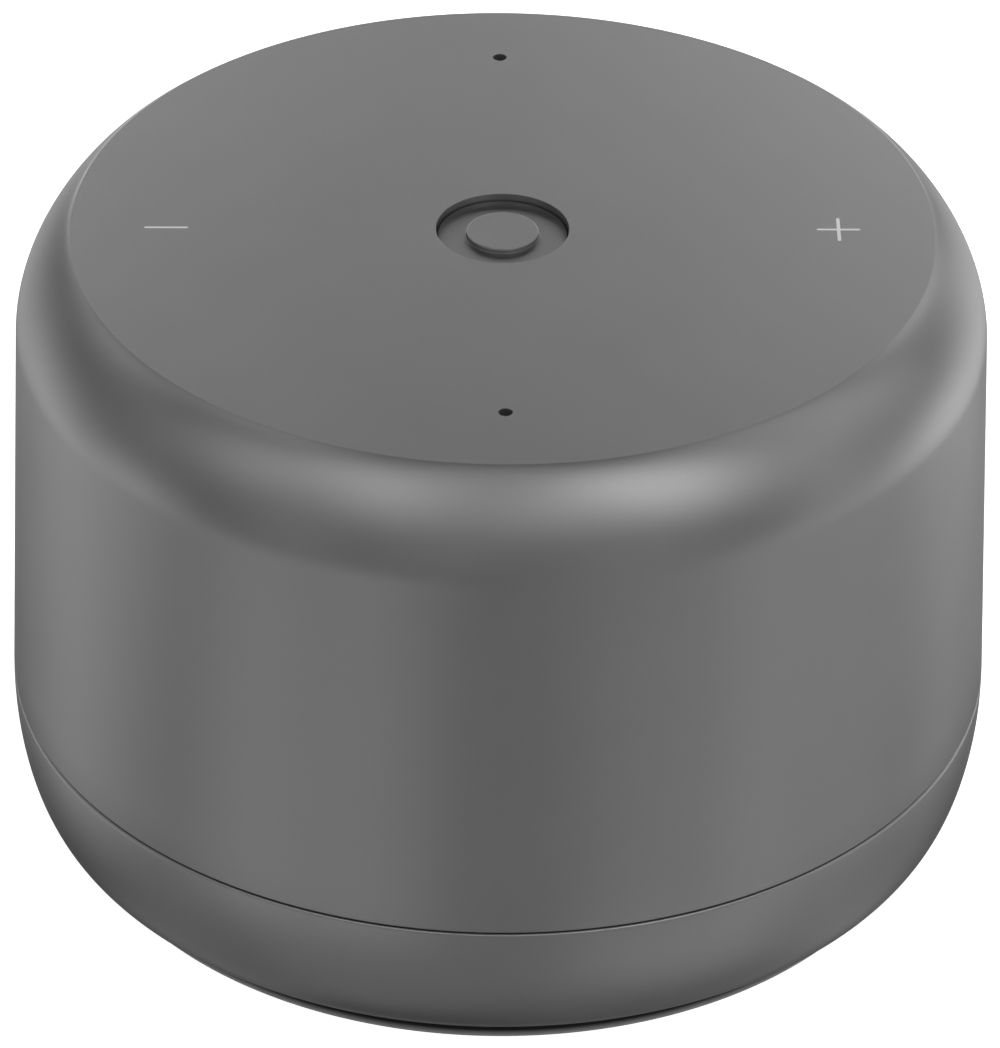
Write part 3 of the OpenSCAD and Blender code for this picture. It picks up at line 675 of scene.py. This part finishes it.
MINUS = moved(capsule(MARK_L, MARK_W), -MARK_X, 0)


def shoulder(inset, top_z, steps=CURVE_STEPS):
    """Rounded shoulder from the flat top down to the wall, or its inner side at an inset."""
    top_r = WALL_TOP_R - inset
    width = SHOULDER_W - inset * SHOULDER_NARROWING
    pull = SHOULDER_H * SHOULDER_WALL_EASE
    return curve(
        (top_r - width, top_z),
        (top_r - width + width * SHOULDER_TOP_EASE, top_z - SHOULDER_CREASE),
        (top_r - WALL_SLOPE * pull, SHOULDER_Z + (top_z - SHOULDER_Z) * SHOULDER_WALL_EASE),
        (top_r, SHOULDER_Z), steps)


def level(z):
    return lambda x, y: (x, y, z)


def top_points(outer_r, holes):
    """Evenly spread points over the flat top, clear of its holes, so that no triangle there is large."""
    out = []
    for ring in range(1, int((outer_r - BUTTON_HOLE_R) / TOP_SPACING)):
        r = BUTTON_HOLE_R + ring * TOP_SPACING
        out += [p for p in circle(r, int(math.tau * r / TOP_SPACING)) if clear_of(p, holes, TOP_CLEARANCE)]
    return out


def clear_of(point, loops, gap):
    """Whether a flat point is outside every loop and more than gap from its corners."""
    return all(math.dist(point, q) > gap for loop in loops if not inside(point, loop) for q in loop) \
        and not any(inside(point, loop) for loop in loops)


def outer_shell():
    bm = bmesh.new()
    crest = shoulder(0, TOP_Z)
    cap_r = crest[0][0]
    under_r = WALL_TOP_R - WALL_T - SHOULDER_W
    wall = [(SEAM_R - (SEAM_R - WALL_TOP_R) * k / WALL_ROWS, SEAM_Z + (SHOULDER_Z - SEAM_Z) * k / WALL_ROWS)
            for k in range(WALL_ROWS - 1, 0, -1)]
    spin(bm, rounded(
        crest + wall
        + [(SEAM_R, SHELL_LOW_Z, SHELL_EDGE), (SEAM_R - WALL_T, SHELL_LOW_Z, SHELL_EDGE)]
        + shoulder(WALL_T, UNDER_TOP_Z, INNER_STEPS)[::-1] + [(under_r, UNDER_TOP_Z)]))

    mics = [(0, MIC_Y), (0, -MIC_Y)]

    def openings(button_r, mic_r):
        return [circle(button_r)] + [circle(mic_r, HOLE_SIDES, at) for at in mics]

    holes = openings(BUTTON_HOLE_R + HOLE_RIM, MIC_R + MIC_RIM) + [PLUS, MINUS]
    guides = openings(BUTTON_HOLE_R + HOLE_RIM + SUPPORT, MIC_R + MIC_RIM + SUPPORT)
    fill(bm, circle(cap_r, SIDES), holes, level(TOP_Z), top_points(cap_r, holes), guides)
    fill(bm, circle(under_r, SIDES), openings(BUTTON_HOLE_R, MIC_R), level(UNDER_TOP_Z))
    spin(bm, rounded([(BUTTON_HOLE_R + HOLE_RIM, TOP_Z), (BUTTON_HOLE_R, TOP_Z, HOLE_RIM),
                      (BUTTON_HOLE_R, UNDER_TOP_Z)]), SMALL_SIDES)
    for mic in mics:
        spin(bm, rounded([(MIC_R + MIC_RIM, TOP_Z), (MIC_R, TOP_Z, MIC_RIM), (MIC_R, UNDER_TOP_Z)]),
             HOLE_SIDES, mic)
    for outline in (PLUS, MINUS):
        bridge(bm, [[(x, y, z) for x, y in outline] for z in (TOP_Z, MARK_LOW_Z)])
        fill(bm, outline, [], level(MARK_LOW_Z))
    guide_r = FLANGE_R + GUIDE_GAP
    tube(bm, guide_r, guide_r + GUIDE_T, UNDER_TOP_Z - GUIDE_DEPTH, UNDER_TOP_Z + OVERLAP)
    for a in CORNER_ANGLES:
        screw_post(bm, polar(POST_REACH, a), POST_LOW_Z, POST_TOP_Z, SHELL_SCREW_R, SHELL_SCREW_DEPTH)
        box_solid(bm, (RIB_INNER_R, -RIB_HALF_T, RIB_LOW_Z), (RIB_OUTER_R, RIB_HALF_T, POST_TOP_Z), a)
        screw_post(bm, polar(TOP_POST_REACH, a), TOP_BOARD_TOP, UNDER_TOP_Z + OVERLAP, BOARD_SCREW_R,
                   BOARD_SCREW_DEPTH)
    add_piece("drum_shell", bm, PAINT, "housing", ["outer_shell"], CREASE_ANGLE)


def tube(bm, in_r, out_r, low_z, high_z):
    spin(bm, [(in_r, low_z), (out_r, low_z), (out_r, high_z), (in_r, high_z)], SMALL_SIDES, closed=True)


def screw_post(bm, at, low_z, high_z, hole_r, depth):
    """Round post that takes a screw from below."""
    spin(bm, rounded([(0, low_z + depth), (hole_r, low_z + depth), (hole_r, low_z, POST_MOUTH),
                      (POST_R, low_z, POST_EDGE), (POST_R, high_z), (0, high_z)], steps=3), HOLE_SIDES, at)


outer_shell()

# ---------------------------------------------------------------- volume marks

MARK_SINK = 0.015 * MM


def mark(name, outline, node):
    """Pigmented inlay, a hair below the surface."""
    bm = bmesh.new()
    heights = (TOP_Z - MARK_SINK, MARK_LOW_Z)
    bridge(bm, [[(x, y, z) for x, y in outline] for z in heights])
    for z in heights:
        fill(bm, outline, [], level(z))
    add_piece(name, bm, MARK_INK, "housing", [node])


mark("plus_inlay", PLUS, "volume_up_mark")
mark("minus_inlay", MINUS, "volume_down_mark")

# ---------------------------------------------------------------- button

FLANGE_PLAY = 0.3 * MM    # between the flange and the top wall
FLANGE_T = 1 * MM
STEM_R = 2.5 * MM
CAP_EDGE = 0.16 * MM      # rounding of the cap's visible edge
HIDDEN_EDGE = 0.1 * MM    # rounding of its hidden ones
CAP_MIDDLE_R = 1 * MM     # small disc in the middle of the plateau, so that no triangle there is long


def button():
    bm = bmesh.new()
    edge_r = BUTTON_HOLE_R - BUTTON_GAP
    flange_top = UNDER_TOP_Z - FLANGE_PLAY
    flange_low = flange_top - FLANGE_T
    rim_z = BUTTON_RIM_Z
    edge = PLATEAU_EDGE
    plateau = [(0, BUTTON_TOP_Z), (CAP_MIDDLE_R, BUTTON_TOP_Z), (PLATEAU_R - 2 * edge, BUTTON_TOP_Z),
               (PLATEAU_R, BUTTON_TOP_Z, edge), (PLATEAU_R + edge / 2, rim_z, edge / 2)]
    rim = [(PLATEAU_R + 3 * edge, rim_z), (edge_r - 3 * edge, rim_z), (edge_r, rim_z, CAP_EDGE)]
    flange = [(edge_r, flange_top), (FLANGE_R, flange_top, HIDDEN_EDGE), (FLANGE_R, flange_low, HIDDEN_EDGE)]
    stem = [(STEM_R, flange_low), (STEM_R, BUTTON_LOW_Z, HIDDEN_EDGE), (0, BUTTON_LOW_Z)]
    spin(bm, rounded(plateau + rim + flange + stem, steps=5), BUTTON_SIDES)
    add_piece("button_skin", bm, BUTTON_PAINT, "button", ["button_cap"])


button()

# ---------------------------------------------------------------- base shell

BASE_RIM = 0.7 * MM       # rounding of the base's upper edge, which catches the light under the parting line
BASE_LOW_PULL = (0.68, 0.18)  # pull on the curve of the base, as shares of its width and height: at its foot
BASE_HIGH_PULL = 0.65     # and, straight up, at its top
INNER_BASE_STEPS = 24
INNER_BASE_DROP = 3 * MM  # below the parting line, where the inside wall turns straight
INNER_BASE_ROWS = [h * MM for h in (2.4, 1.8, 1.2, 0.7, 0.2)]     # rows of the straight part below that line
WINDOW_COLUMNS = 11       # grid columns each side of the back that the pocket's window spans
WINDOW_ROOM = 0.02 * MM   # least height between the window's outline and a grid row outside it
LIP_GAP = 0.3 * MM
LIP_T = 1.8 * MM
LIP_ROOT = 0.1 * MM       # rounding where the lip leaves the rim
LIP_EDGE = 0.15 * MM
POCKET_RIM = 0.35 * MM    # rounding of the pocket's mouth
POCKET_RIM_STEPS = 6
POCKET_GROW = 0.35 * MM   # margin of the grid round the pocket, outside the wall and inside it
TUBE_GROW = 0.4 * MM
MOUTH_GAP = 0.3 * MM      # round the socket
MOUTH_CORNER = 1.6 * MM
FLOOR_MARGIN = 0.6 * MM
BORE_R = 2.6 * MM         # counterbores for the heads of the shell screws
BORE_DEPTH = 2.5 * MM
SCREW_CLEARANCE_R = 1.4 * MM
POST_GAP = 0.1 * MM       # between the posts of the base and of the shell
POST_ROOT = 0.2 * MM      # how far the posts run into the base's floor
FOOT_POST_REACH = 29 * MM
FOOT_POST_TOP_Z = 10 * MM


def base_side(inset, low_z, high_z, steps=CURVE_STEPS):
    """Side of the base from its lowest edge up to the parting line."""
    height = high_z - low_z
    width = SEAM_R - BASE_EDGE_R
    out, up = BASE_LOW_PULL
    return curve((BASE_EDGE_R - inset, low_z), (BASE_EDGE_R - inset + width * out, low_z + height * up),
                 (SEAM_R - inset, low_z + height * BASE_HIGH_PULL), (SEAM_R - inset, high_z), steps)


def radius_at(profile, z):
    """Radius of a profile at a height, or at the nearer of its ends beyond them."""
    for (r1, z1), (r2, z2) in zip(profile, profile[1:]):
        if z1 <= z <= z2:
            return r1 + (r2 - r1) * (z - z1) / (z2 - z1)
    return profile[0][0] if z < profile[0][1] else profile[-1][0]


def pierced_wall(bm, profile, outline, grown):
    """Wall of revolution with a hole of the outline, given as (x, height), at the back. Grid points
    inside the grown outline are left out, so that the triangles round the hole stay well shaped."""
    back = SIDES // 4
    zs = [z for _, z in profile]
    low = max(i for i, z in enumerate(zs) if z < min(v for _, v in grown) - WINDOW_ROOM)
    high = min(i for i, z in enumerate(zs) if z > max(v for _, v in grown) + WINDOW_ROOM)

    def grid(i, row):
        r, z = profile[row]
        return (*polar(r, math.tau * i / SIDES), z)

    rows = [[bm.verts.new(grid(i, row)) for i in range(SIDES)] for row in range(len(profile))]
    first, last = back - WINDOW_COLUMNS, back + WINDOW_COLUMNS
    for row in range(len(profile) - 1):
        for i in range(SIDES):
            if low <= row < high and first <= i < last:
                continue
            j = (i + 1) % SIDES
            bm.faces.new((rows[row][i], rows[row][j], rows[row + 1][j], rows[row + 1][i]))
    border = [(i, low) for i in range(first, last)] + [(last, row) for row in range(low, high)]
    border += [(i, high) for i in range(last, first, -1)] + [(first, row) for row in range(high, low, -1)]
    middle = [(i, row) for i in range(first + 1, last) for row in range(low + 1, high)]
    flat, loose = [[(grid(*cell)[0], grid(*cell)[2]) for cell in cells] for cells in (border, middle)]
    loose = [p for p in loose if not inside(p, grown)]
    fill(bm, flat, [outline], lambda x, z: (x, on_wall(profile, x, z), z), loose)


def on_wall(profile, x, z):
    """Y of the back of a wall of revolution, at x and z."""
    return math.sqrt(radius_at(profile, z) ** 2 - x * x)


def socket_loop(width, height, corner, grow=0.0):
    """Rounded rectangle about the socket's middle, as (x, height)."""
    return moved(rounded_rect(width + 2 * grow, height + 2 * grow, corner + grow), 0, SOCKET_Z)


def pocket_loop(grow=0.0):
    return socket_loop(PLUG_W, PLUG_H, POCKET_CORNER, grow)


def base_shell():
    bm = bmesh.new()
    outer = base_side(0, BASE_Z, BASE_TOP_Z - BASE_RIM)
    inner = base_side(WALL_T, FLOOR_Z, BASE_TOP_Z - INNER_BASE_DROP, INNER_BASE_STEPS)
    inner += [(SEAM_R - WALL_T, BASE_TOP_Z - h) for h in INNER_BASE_ROWS]
    socket_pocket(bm, outer, inner)
    base_rim(bm, outer, inner)
    base_floor(bm, outer, inner)
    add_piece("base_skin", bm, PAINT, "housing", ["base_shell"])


def socket_pocket(bm, outer, inner):
    """Both sides of the wall, and between them the pocket for the plug, with the socket's mouth in it."""
    pierced_wall(bm, outer, pocket_loop(POCKET_RIM), pocket_loop(POCKET_RIM + POCKET_GROW))
    loops = []
    for k in range(POCKET_RIM_STEPS + 1):
        a = math.pi / 2 * k / POCKET_RIM_STEPS
        loop = pocket_loop(POCKET_RIM * (1 - math.sin(a)))
        loops.append([(x, on_wall(outer, x, z) - POCKET_RIM * (1 - math.cos(a)), z) for x, z in loop])
    pocket = pocket_loop()
    mouth = socket_loop(SOCKET_W + MOUTH_GAP, SOCKET_H + MOUTH_GAP, MOUTH_CORNER)
    sleeve = pocket_loop(POCKET_WALL)
    back_y = POCKET_Y - POCKET_WALL
    loops.append([(x, POCKET_Y, z) for x, z in pocket])
    bridge(bm, loops)
    fill(bm, pocket, [mouth], lambda x, z: (x, POCKET_Y, z))
    bridge(bm, [[(x, y, z) for x, z in mouth] for y in (POCKET_Y, back_y)])
    fill(bm, sleeve, [mouth], lambda x, z: (x, back_y, z))
    pierced_wall(bm, inner, sleeve, pocket_loop(POCKET_WALL + TUBE_GROW))
    bridge(bm, [[(x, back_y, z) for x, z in sleeve], [(x, on_wall(inner, x, z), z) for x, z in sleeve]])


def base_rim(bm, outer, inner):
    """Upper edge, inner lip and the top of the inside wall."""
    lip_r = SEAM_R - WALL_T - LIP_GAP
    lip_in = lip_r - LIP_T
    spin(bm, rounded([outer[-1], (SEAM_R, BASE_TOP_Z, BASE_RIM), (lip_r, BASE_TOP_Z, LIP_ROOT),
                      (lip_r, LIP_TOP_Z, LIP_EDGE), (lip_in, LIP_TOP_Z, LIP_EDGE),
                      (lip_in, inner[-1][1]), inner[-1]]))


def base_floor(bm, outer, inner):
    """Floor with the speaker's opening, the counterbores and the posts."""
    floor_r = BASE_EDGE_R - FLOOR_MARGIN
    floor_in = inner[0][0] - FLOOR_MARGIN
    spin(bm, [(floor_r, BASE_Z), outer[0]])
    spin(bm, [inner[0], (floor_in, FLOOR_Z)])
    screws = [polar(POST_REACH, a) for a in CORNER_ANGLES]
    bores = [circle(BORE_R, HOLE_SIDES, at) for at in screws]
    for z, r in ((BASE_Z, floor_r), (FLOOR_Z, floor_in)):
        fill(bm, circle(r, SIDES), [circle(DRIVER_HOLE_R)] + bores, level(z))
    spin(bm, [(DRIVER_HOLE_R, BASE_Z), (DRIVER_HOLE_R, FLOOR_Z)], SMALL_SIDES)
    root_z = FLOOR_Z - POST_ROOT
    step_z = BASE_Z + BORE_DEPTH
    post_top = POST_LOW_Z - POST_GAP
    for at in screws:
        spin(bm, [(BORE_R, BASE_Z), (BORE_R, FLOOR_Z)], HOLE_SIDES, at)
        spin(bm, [(BORE_R, root_z), (POST_R, root_z), (POST_R, post_top), (SCREW_CLEARANCE_R, post_top),
                  (SCREW_CLEARANCE_R, step_z), (BORE_R, step_z)], HOLE_SIDES, at, closed=True)
    for a in CORNER_ANGLES:
        spin(bm, [(0, root_z), (POST_R, root_z), (POST_R, FOOT_POST_TOP_Z), (0, FOOT_POST_TOP_Z)],
             HOLE_SIDES, polar(FOOT_POST_REACH, a))


base_shell()

# ---------------------------------------------------------------- foot

FOOT_PLATE_Z = 0.8 * MM   # floor of the recess that takes the foot plate
FOOT_LIP_T = 1 * MM
FOOT_LOW_EDGE = 0.25 * MM     # roundings: lower rim, upper rim, inner edge of the lip
FOOT_TOP_EDGE = 0.3 * MM
FOOT_LIP_EDGE = 0.1 * MM
FOOT_SUPPORTS = (2.4 * MM, 1.2 * MM)  # flat rings this far inside the rim keep its rounding from spreading


def foot():
    bm = bmesh.new()
    lip_in = FOOT_R - FOOT_LIP_T
    underside = [(r, 0) for r in (0, FOOT_R / 2, *(FOOT_R - inset for inset in FOOT_SUPPORTS))]
    spin(bm, rounded(underside + [(FOOT_R, 0, FOOT_LOW_EDGE), (FOOT_R, FOOT_TOP_Z, FOOT_TOP_EDGE),
                                  (lip_in, FOOT_TOP_Z, FOOT_LIP_EDGE), (lip_in, FOOT_PLATE_Z),
                                  (0, FOOT_PLATE_Z)], steps=5))
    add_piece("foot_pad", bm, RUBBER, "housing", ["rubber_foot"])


foot()

# ---------------------------------------------------------------- finishes of the inner pieces


def metal(name, colour, rough, **more):
    return plain_finish(name, colour, rough=rough, metallic=1.0, **more)


WAVES_PER_UNIT = 3.18     # the wave texture's own stripes at scale 1, for each metre


def striped_finish(name, low, high, pitch, direction, rough, depth=0.0, rings=False, metallic=0.0):
    """Fine stripes across one axis, or rings round it: a winding, a turned face or a flat cable's tracks."""
    finish = Finish(name)
    set_value(finish.bsdf, "Metallic", metallic)
    stripes = finish.node("ShaderNodeTexWave", Scale=1 / (pitch * WAVES_PER_UNIT), Distortion=0.15)
    stripes.wave_type = "RINGS" if rings else "BANDS"
    stripes.rings_direction = direction
    stripes.bands_direction = direction
    finish.link(finish.coords, stripes.inputs["Vector"])
    lines = stripes.outputs["Fac"]
    mottle = finish.noise(1.5 * MM, detail=3)
    tone = finish.mix(lines, low, high)
    tone = finish.mix(finish.spread(mottle, 0, 0.25), tone, low)
    finish.colour(tone)
    finish.roughness(mottle, *rough)
    if depth:
        finish.bump(lines, depth)
    return finish.material


def board_finish():
    """Green solder mask over copper: lighter where tracks and pours lie under it, with plated dots."""
    finish = Finish("solder_mask")
    tracks = finish.node("ShaderNodeTexVoronoi", Scale=1 / (1.6 * MM))
    tracks.feature = "DISTANCE_TO_EDGE"
    finish.link(finish.coords, tracks.inputs["Vector"])
    dots = finish.node("ShaderNodeTexVoronoi", Scale=1 / (1.1 * MM), Randomness=0.6)
    finish.link(finish.coords, dots.inputs["Vector"])
    copper = finish.remap(tracks.outputs["Distance"], 0.06, 0.1, 0, 1)
    tone = finish.mix(copper, (0.016, 0.1, 0.045), (0.01, 0.055, 0.028))
    dot = finish.remap(dots.outputs["Distance"], 0.16, 0.2, 1, 0)
    finish.colour(finish.mix(dot, tone, (0.55, 0.42, 0.2)))
    finish.roughness(finish.noise(4 * MM), 0.25, 0.38)
    finish.bump(copper, 0.02 * MM)
    return finish.material


def foam_finish(name, colour, pore):
    """Soft open foam or moulded rubber, with small pores."""
    finish = Finish(name)
    pores = finish.node("ShaderNodeTexVoronoi", Scale=1 / pore)
    finish.link(finish.coords, pores.inputs["Vector"])
    cells = finish.remap(pores.outputs["Distance"], 0.1, 0.7, 0, 1)
    finish.colour(finish.mix(cells, [c * 0.7 for c in colour], [c * 1.15 for c in colour]))
    finish.roughness(finish.noise(2 * MM), 0.75, 0.9)
    finish.bump(cells, pore * 0.12)
    return finish.material


def cloth_finish(name, colour, thread):
    """Plain weave of threads that run along X and along Y."""
    finish = Finish(name)
    weave = None
    for direction in ("X", "Y"):
        bands = finish.node("ShaderNodeTexWave", Scale=1 / (thread * WAVES_PER_UNIT), Distortion=0.4)
        bands.bands_direction = direction
        finish.link(finish.coords, bands.inputs["Vector"])
        if weave is None:
            weave = bands.outputs["Fac"]
        else:
            cross_over = finish.node("ShaderNodeMath", operation="MULTIPLY")
            finish.link(weave, cross_over.inputs[0])
            finish.link(bands.outputs["Fac"], cross_over.inputs[1])
            weave = cross_over.outputs["Value"]
    finish.colour(finish.mix(weave, [c * 0.55 for c in colour], colour))
    finish.roughness(finish.noise(1 * MM), 0.7, 0.85)
    finish.bump(weave, thread * 0.2)
    return finish.material


# ---------------------------------------------------------------- rings round the speaker's cone

WEDGES = 16               # each ring is made of wedges
WEDGE_STEPS = 6
SKIN_T = 0.3 * MM         # thickness of the roll and of the spider's cloth
ROLL_LAND = 1 * MM        # width of the roll's land on the cone
SPIDER_GLUE = 0.05 * MM   # between the spider and the voice coil
SPIDER_LANDS = (0.8 * MM, 1.2 * MM)   # flat widths at the coil and on the basket


def flexing_ring(name, finish, node, slot, outline, cone_r, fixed_r):
    """Ring with a closed outline of (radius, height) points, built of separate wedges.
    Cone_r and fixed_r are not used."""
    for wedge in range(WEDGES):
        bm = bmesh.new()
        rings = []
        for step in range(WEDGE_STEPS + 1):
            a = math.tau * (wedge + step / WEDGE_STEPS) / WEDGES
            rings.append([bm.verts.new((*polar(r, a), z)) for r, z in outline])
        for low, high in zip(rings, rings[1:]):
            for i in range(len(outline)):
                j = (i + 1) % len(outline)
                bm.faces.new((low[i], low[j], high[j], high[i]))
        for end in (rings[0], rings[-1]):
            bm.faces.new(end)
        piece = finished_mesh(f"{name}_{wedge}", bm, finish)
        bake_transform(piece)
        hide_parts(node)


def half_round(centre_r, centre_z, r, ease, steps=16):
    """Lower half of a circle, cut short by ease radians at each end."""
    angles = [math.pi + ease + (math.pi - 2 * ease) * k / steps for k in range(steps + 1)]
    return [(centre_r + r * math.cos(a), centre_z + r * math.sin(a)) for a in angles]


def roll_outline():
    """Half-round roll that hangs between an inner land, glued to the cone, and an outer one on the basket.
    Gives its outline, and the two radii between which it bends."""
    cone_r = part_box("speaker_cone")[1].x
    inner_r = cone_r - ROLL_LAND
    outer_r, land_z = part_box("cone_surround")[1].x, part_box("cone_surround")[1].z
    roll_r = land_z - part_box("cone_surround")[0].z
    centre_r = cone_r + roll_r
    under_z = land_z - SKIN_T
    top = [(inner_r, land_z)] + half_round(centre_r, land_z, roll_r - SKIN_T, 0) + [(outer_r, land_z)]
    under = half_round(centre_r, land_z, roll_r, math.asin(SKIN_T / roll_r))[::-1]
    return top + [(outer_r, under_z)] + under + [(inner_r, under_z)], cone_r, cone_r + 2 * roll_r


def spider_outline(waves=3, steps=48):
    """Corrugated cloth ring between two flat lands. Gives its outline, and the two radii between which it
    bends."""
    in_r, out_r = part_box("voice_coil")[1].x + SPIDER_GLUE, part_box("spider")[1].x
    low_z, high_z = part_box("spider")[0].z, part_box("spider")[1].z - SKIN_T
    first, last = in_r + SPIDER_LANDS[0], out_r - SPIDER_LANDS[1]
    under = [(in_r, low_z)]
    for k in range(steps + 1):
        share = k / steps
        lift = (1 - math.cos(math.tau * (waves - 0.5) * share)) / 2
        under.append((first + (last - first) * share, low_z + (high_z - low_z) * lift))
    under.append((out_r, high_z))
    return under + [(r, z + SKIN_T) for r, z in under[::-1]], first, last


ROLL_RUBBER = plain_finish("roll_rubber", grey(0.026), rough=(0.5, 0.62), pitch=1.5 * MM,
                           grain=(0.12 * MM, 0.006 * MM))
SPIDER_CLOTH = cloth_finish("spider_cloth", (0.6, 0.46, 0.25), 0.35 * MM)
flexing_ring("cone_roll", ROLL_RUBBER, "cone_surround", "soft_seal", *roll_outline())
flexing_ring("spider_ring", SPIDER_CLOTH, "spider", "spider_cloth", *spider_outline())

# ---------------------------------------------------------------- the table of inner finishes

FLEX_ORANGE = ((0.5, 0.26, 0.07), (0.62, 0.37, 0.13))     # the flat cables, between tracks and on them
INNER_FINISHES = [
    (plain_finish("black_plastic", (0.03, 0.03, 0.032), rough=(0.42, 0.58), grain=(0.25 * MM, 0.012 * MM),
                  wear=grey(0.07)),
     ("button_plunger", "foot_plate", "speaker_chamber", "socket_tongue")),
    (metal("zinc_plated_screws", (0.6, 0.6, 0.62), (0.24, 0.4), spread=0.12, pitch=0.8 * MM,
           grain=(0.1 * MM, 0.003 * MM), wear=grey(0.8)),
     ("foot_screws", "shell_screws", "top_board_screws", "chamber_screws", "driver_screws",
      "main_board_screws", "inlet_board_screws")),
    (board_finish(), ("top_board", "main_board", "inlet_board")),
    (metal("tinned_can", (0.7, 0.7, 0.69), (0.28, 0.42), spread=0.08, pitch=2 * MM,
           grain=(0.4 * MM, 0.006 * MM), wear=grey(0.85)),
     ("button_switch", "radio_shield", "capacitors")),
    (metal("drawn_nickel", (0.6, 0.59, 0.57), (0.22, 0.36), spread=0.1, pitch=0.6 * MM, stretch=(1, 0.12, 1),
           grain=(0.08 * MM, 0.003 * MM), wear=grey(0.82)),
     ("power_socket",)),
    (metal("gold_flash", (0.83, 0.6, 0.26), (0.2, 0.34), spread=0.08, pitch=1 * MM,
           grain=(0.1 * MM, 0.002 * MM)),
     ("microphones", "radio_antennas", "speaker_terminals")),
    (foam_finish("foam_rubber", grey(0.03), 0.28 * MM),
     ("microphone_gaskets", "chamber_seal", "driver_gasket")),
    (ROLL_RUBBER, ("antenna_leads",)),
    (cloth_finish("conductive_cloth", (0.42, 0.4, 0.36), 0.3 * MM), ("touch_pads",)),
    (plain_finish("chip_package", (0.024, 0.024, 0.026), rough=(0.5, 0.66), spread=0.15, pitch=1.5 * MM,
                  grain=(0.06 * MM, 0.004 * MM), wear=grey(0.06)),
     ("touch_chip", "processor", "memory_chips", "power_coil")),
    (plain_finish("natural_nylon", (0.78, 0.73, 0.6), rough=(0.38, 0.5), spread=0.05, pitch=2 * MM,
                  grain=(0.15 * MM, 0.005 * MM), wear=(0.86, 0.83, 0.75)),
     ("board_connectors",)),
    (striped_finish("top_ribbon_film", *FLEX_ORANGE, 0.5 * MM, "Y", (0.2, 0.3), 0.01 * MM),
     ("top_ribbon",)),
    (striped_finish("inlet_ribbon_film", *FLEX_ORANGE, 0.5 * MM, "X", (0.2, 0.3), 0.01 * MM),
     ("inlet_ribbon",)),
    (plain_finish("painted_steel", (0.04, 0.04, 0.042), rough=(0.3, 0.42), spread=0.1, pitch=1.2 * MM,
                  grain=(0.5 * MM, 0.012 * MM), wear=grey(0.12)),
     ("driver_basket",)),
    (plain_finish("sintered_ferrite", (0.055, 0.056, 0.062), rough=(0.5, 0.7), spread=0.2, pitch=0.7 * MM,
                  grain=(0.12 * MM, 0.015 * MM), wear=grey(0.12)),
     ("magnet_ring",)),
    (striped_finish("turned_steel", (0.46, 0.46, 0.45), (0.58, 0.58, 0.57), 0.22 * MM, "Z", (0.25, 0.38),
                    0.004 * MM, rings=True, metallic=1.0),
     ("front_plate", "magnet_yoke")),
    (striped_finish("copper_winding", (0.45, 0.17, 0.08), (0.78, 0.38, 0.2), 0.16 * MM, "Z", (0.25, 0.35),
                    0.03 * MM, metallic=1.0),
     ("voice_coil",)),
    (plain_finish("pressed_paper", (0.032, 0.032, 0.034), rough=(0.8, 0.92), spread=0.3, pitch=0.5 * MM,
                  grain=(0.18 * MM, 0.03 * MM), specular=0.3),
     ("speaker_cone", "dust_cap")),
    (plain_finish("red_jacket", (0.42, 0.025, 0.022), rough=(0.4, 0.5), spread=0.08, pitch=1 * MM,
                  grain=(0.2 * MM, 0.004 * MM)),
     ("speaker_wires",)),
    (metal("blasted_aluminium", (0.72, 0.72, 0.73), (0.42, 0.55), spread=0.05, pitch=2 * MM,
           grain=(0.09 * MM, 0.01 * MM), wear=grey(0.85)),
     ("heat_spreader",)),
    (plain_finish("silicone_pad", (0.3, 0.45, 0.58), rough=(0.55, 0.7), spread=0.06, pitch=1.2 * MM,
                  grain=(0.3 * MM, 0.01 * MM)),
     ("thermal_pad",)),
]
for material, nodes in INNER_FINISHES:
    for node in nodes:
        mesh = NODES[node].data
        mesh.materials.clear()
        mesh.materials.append(material)
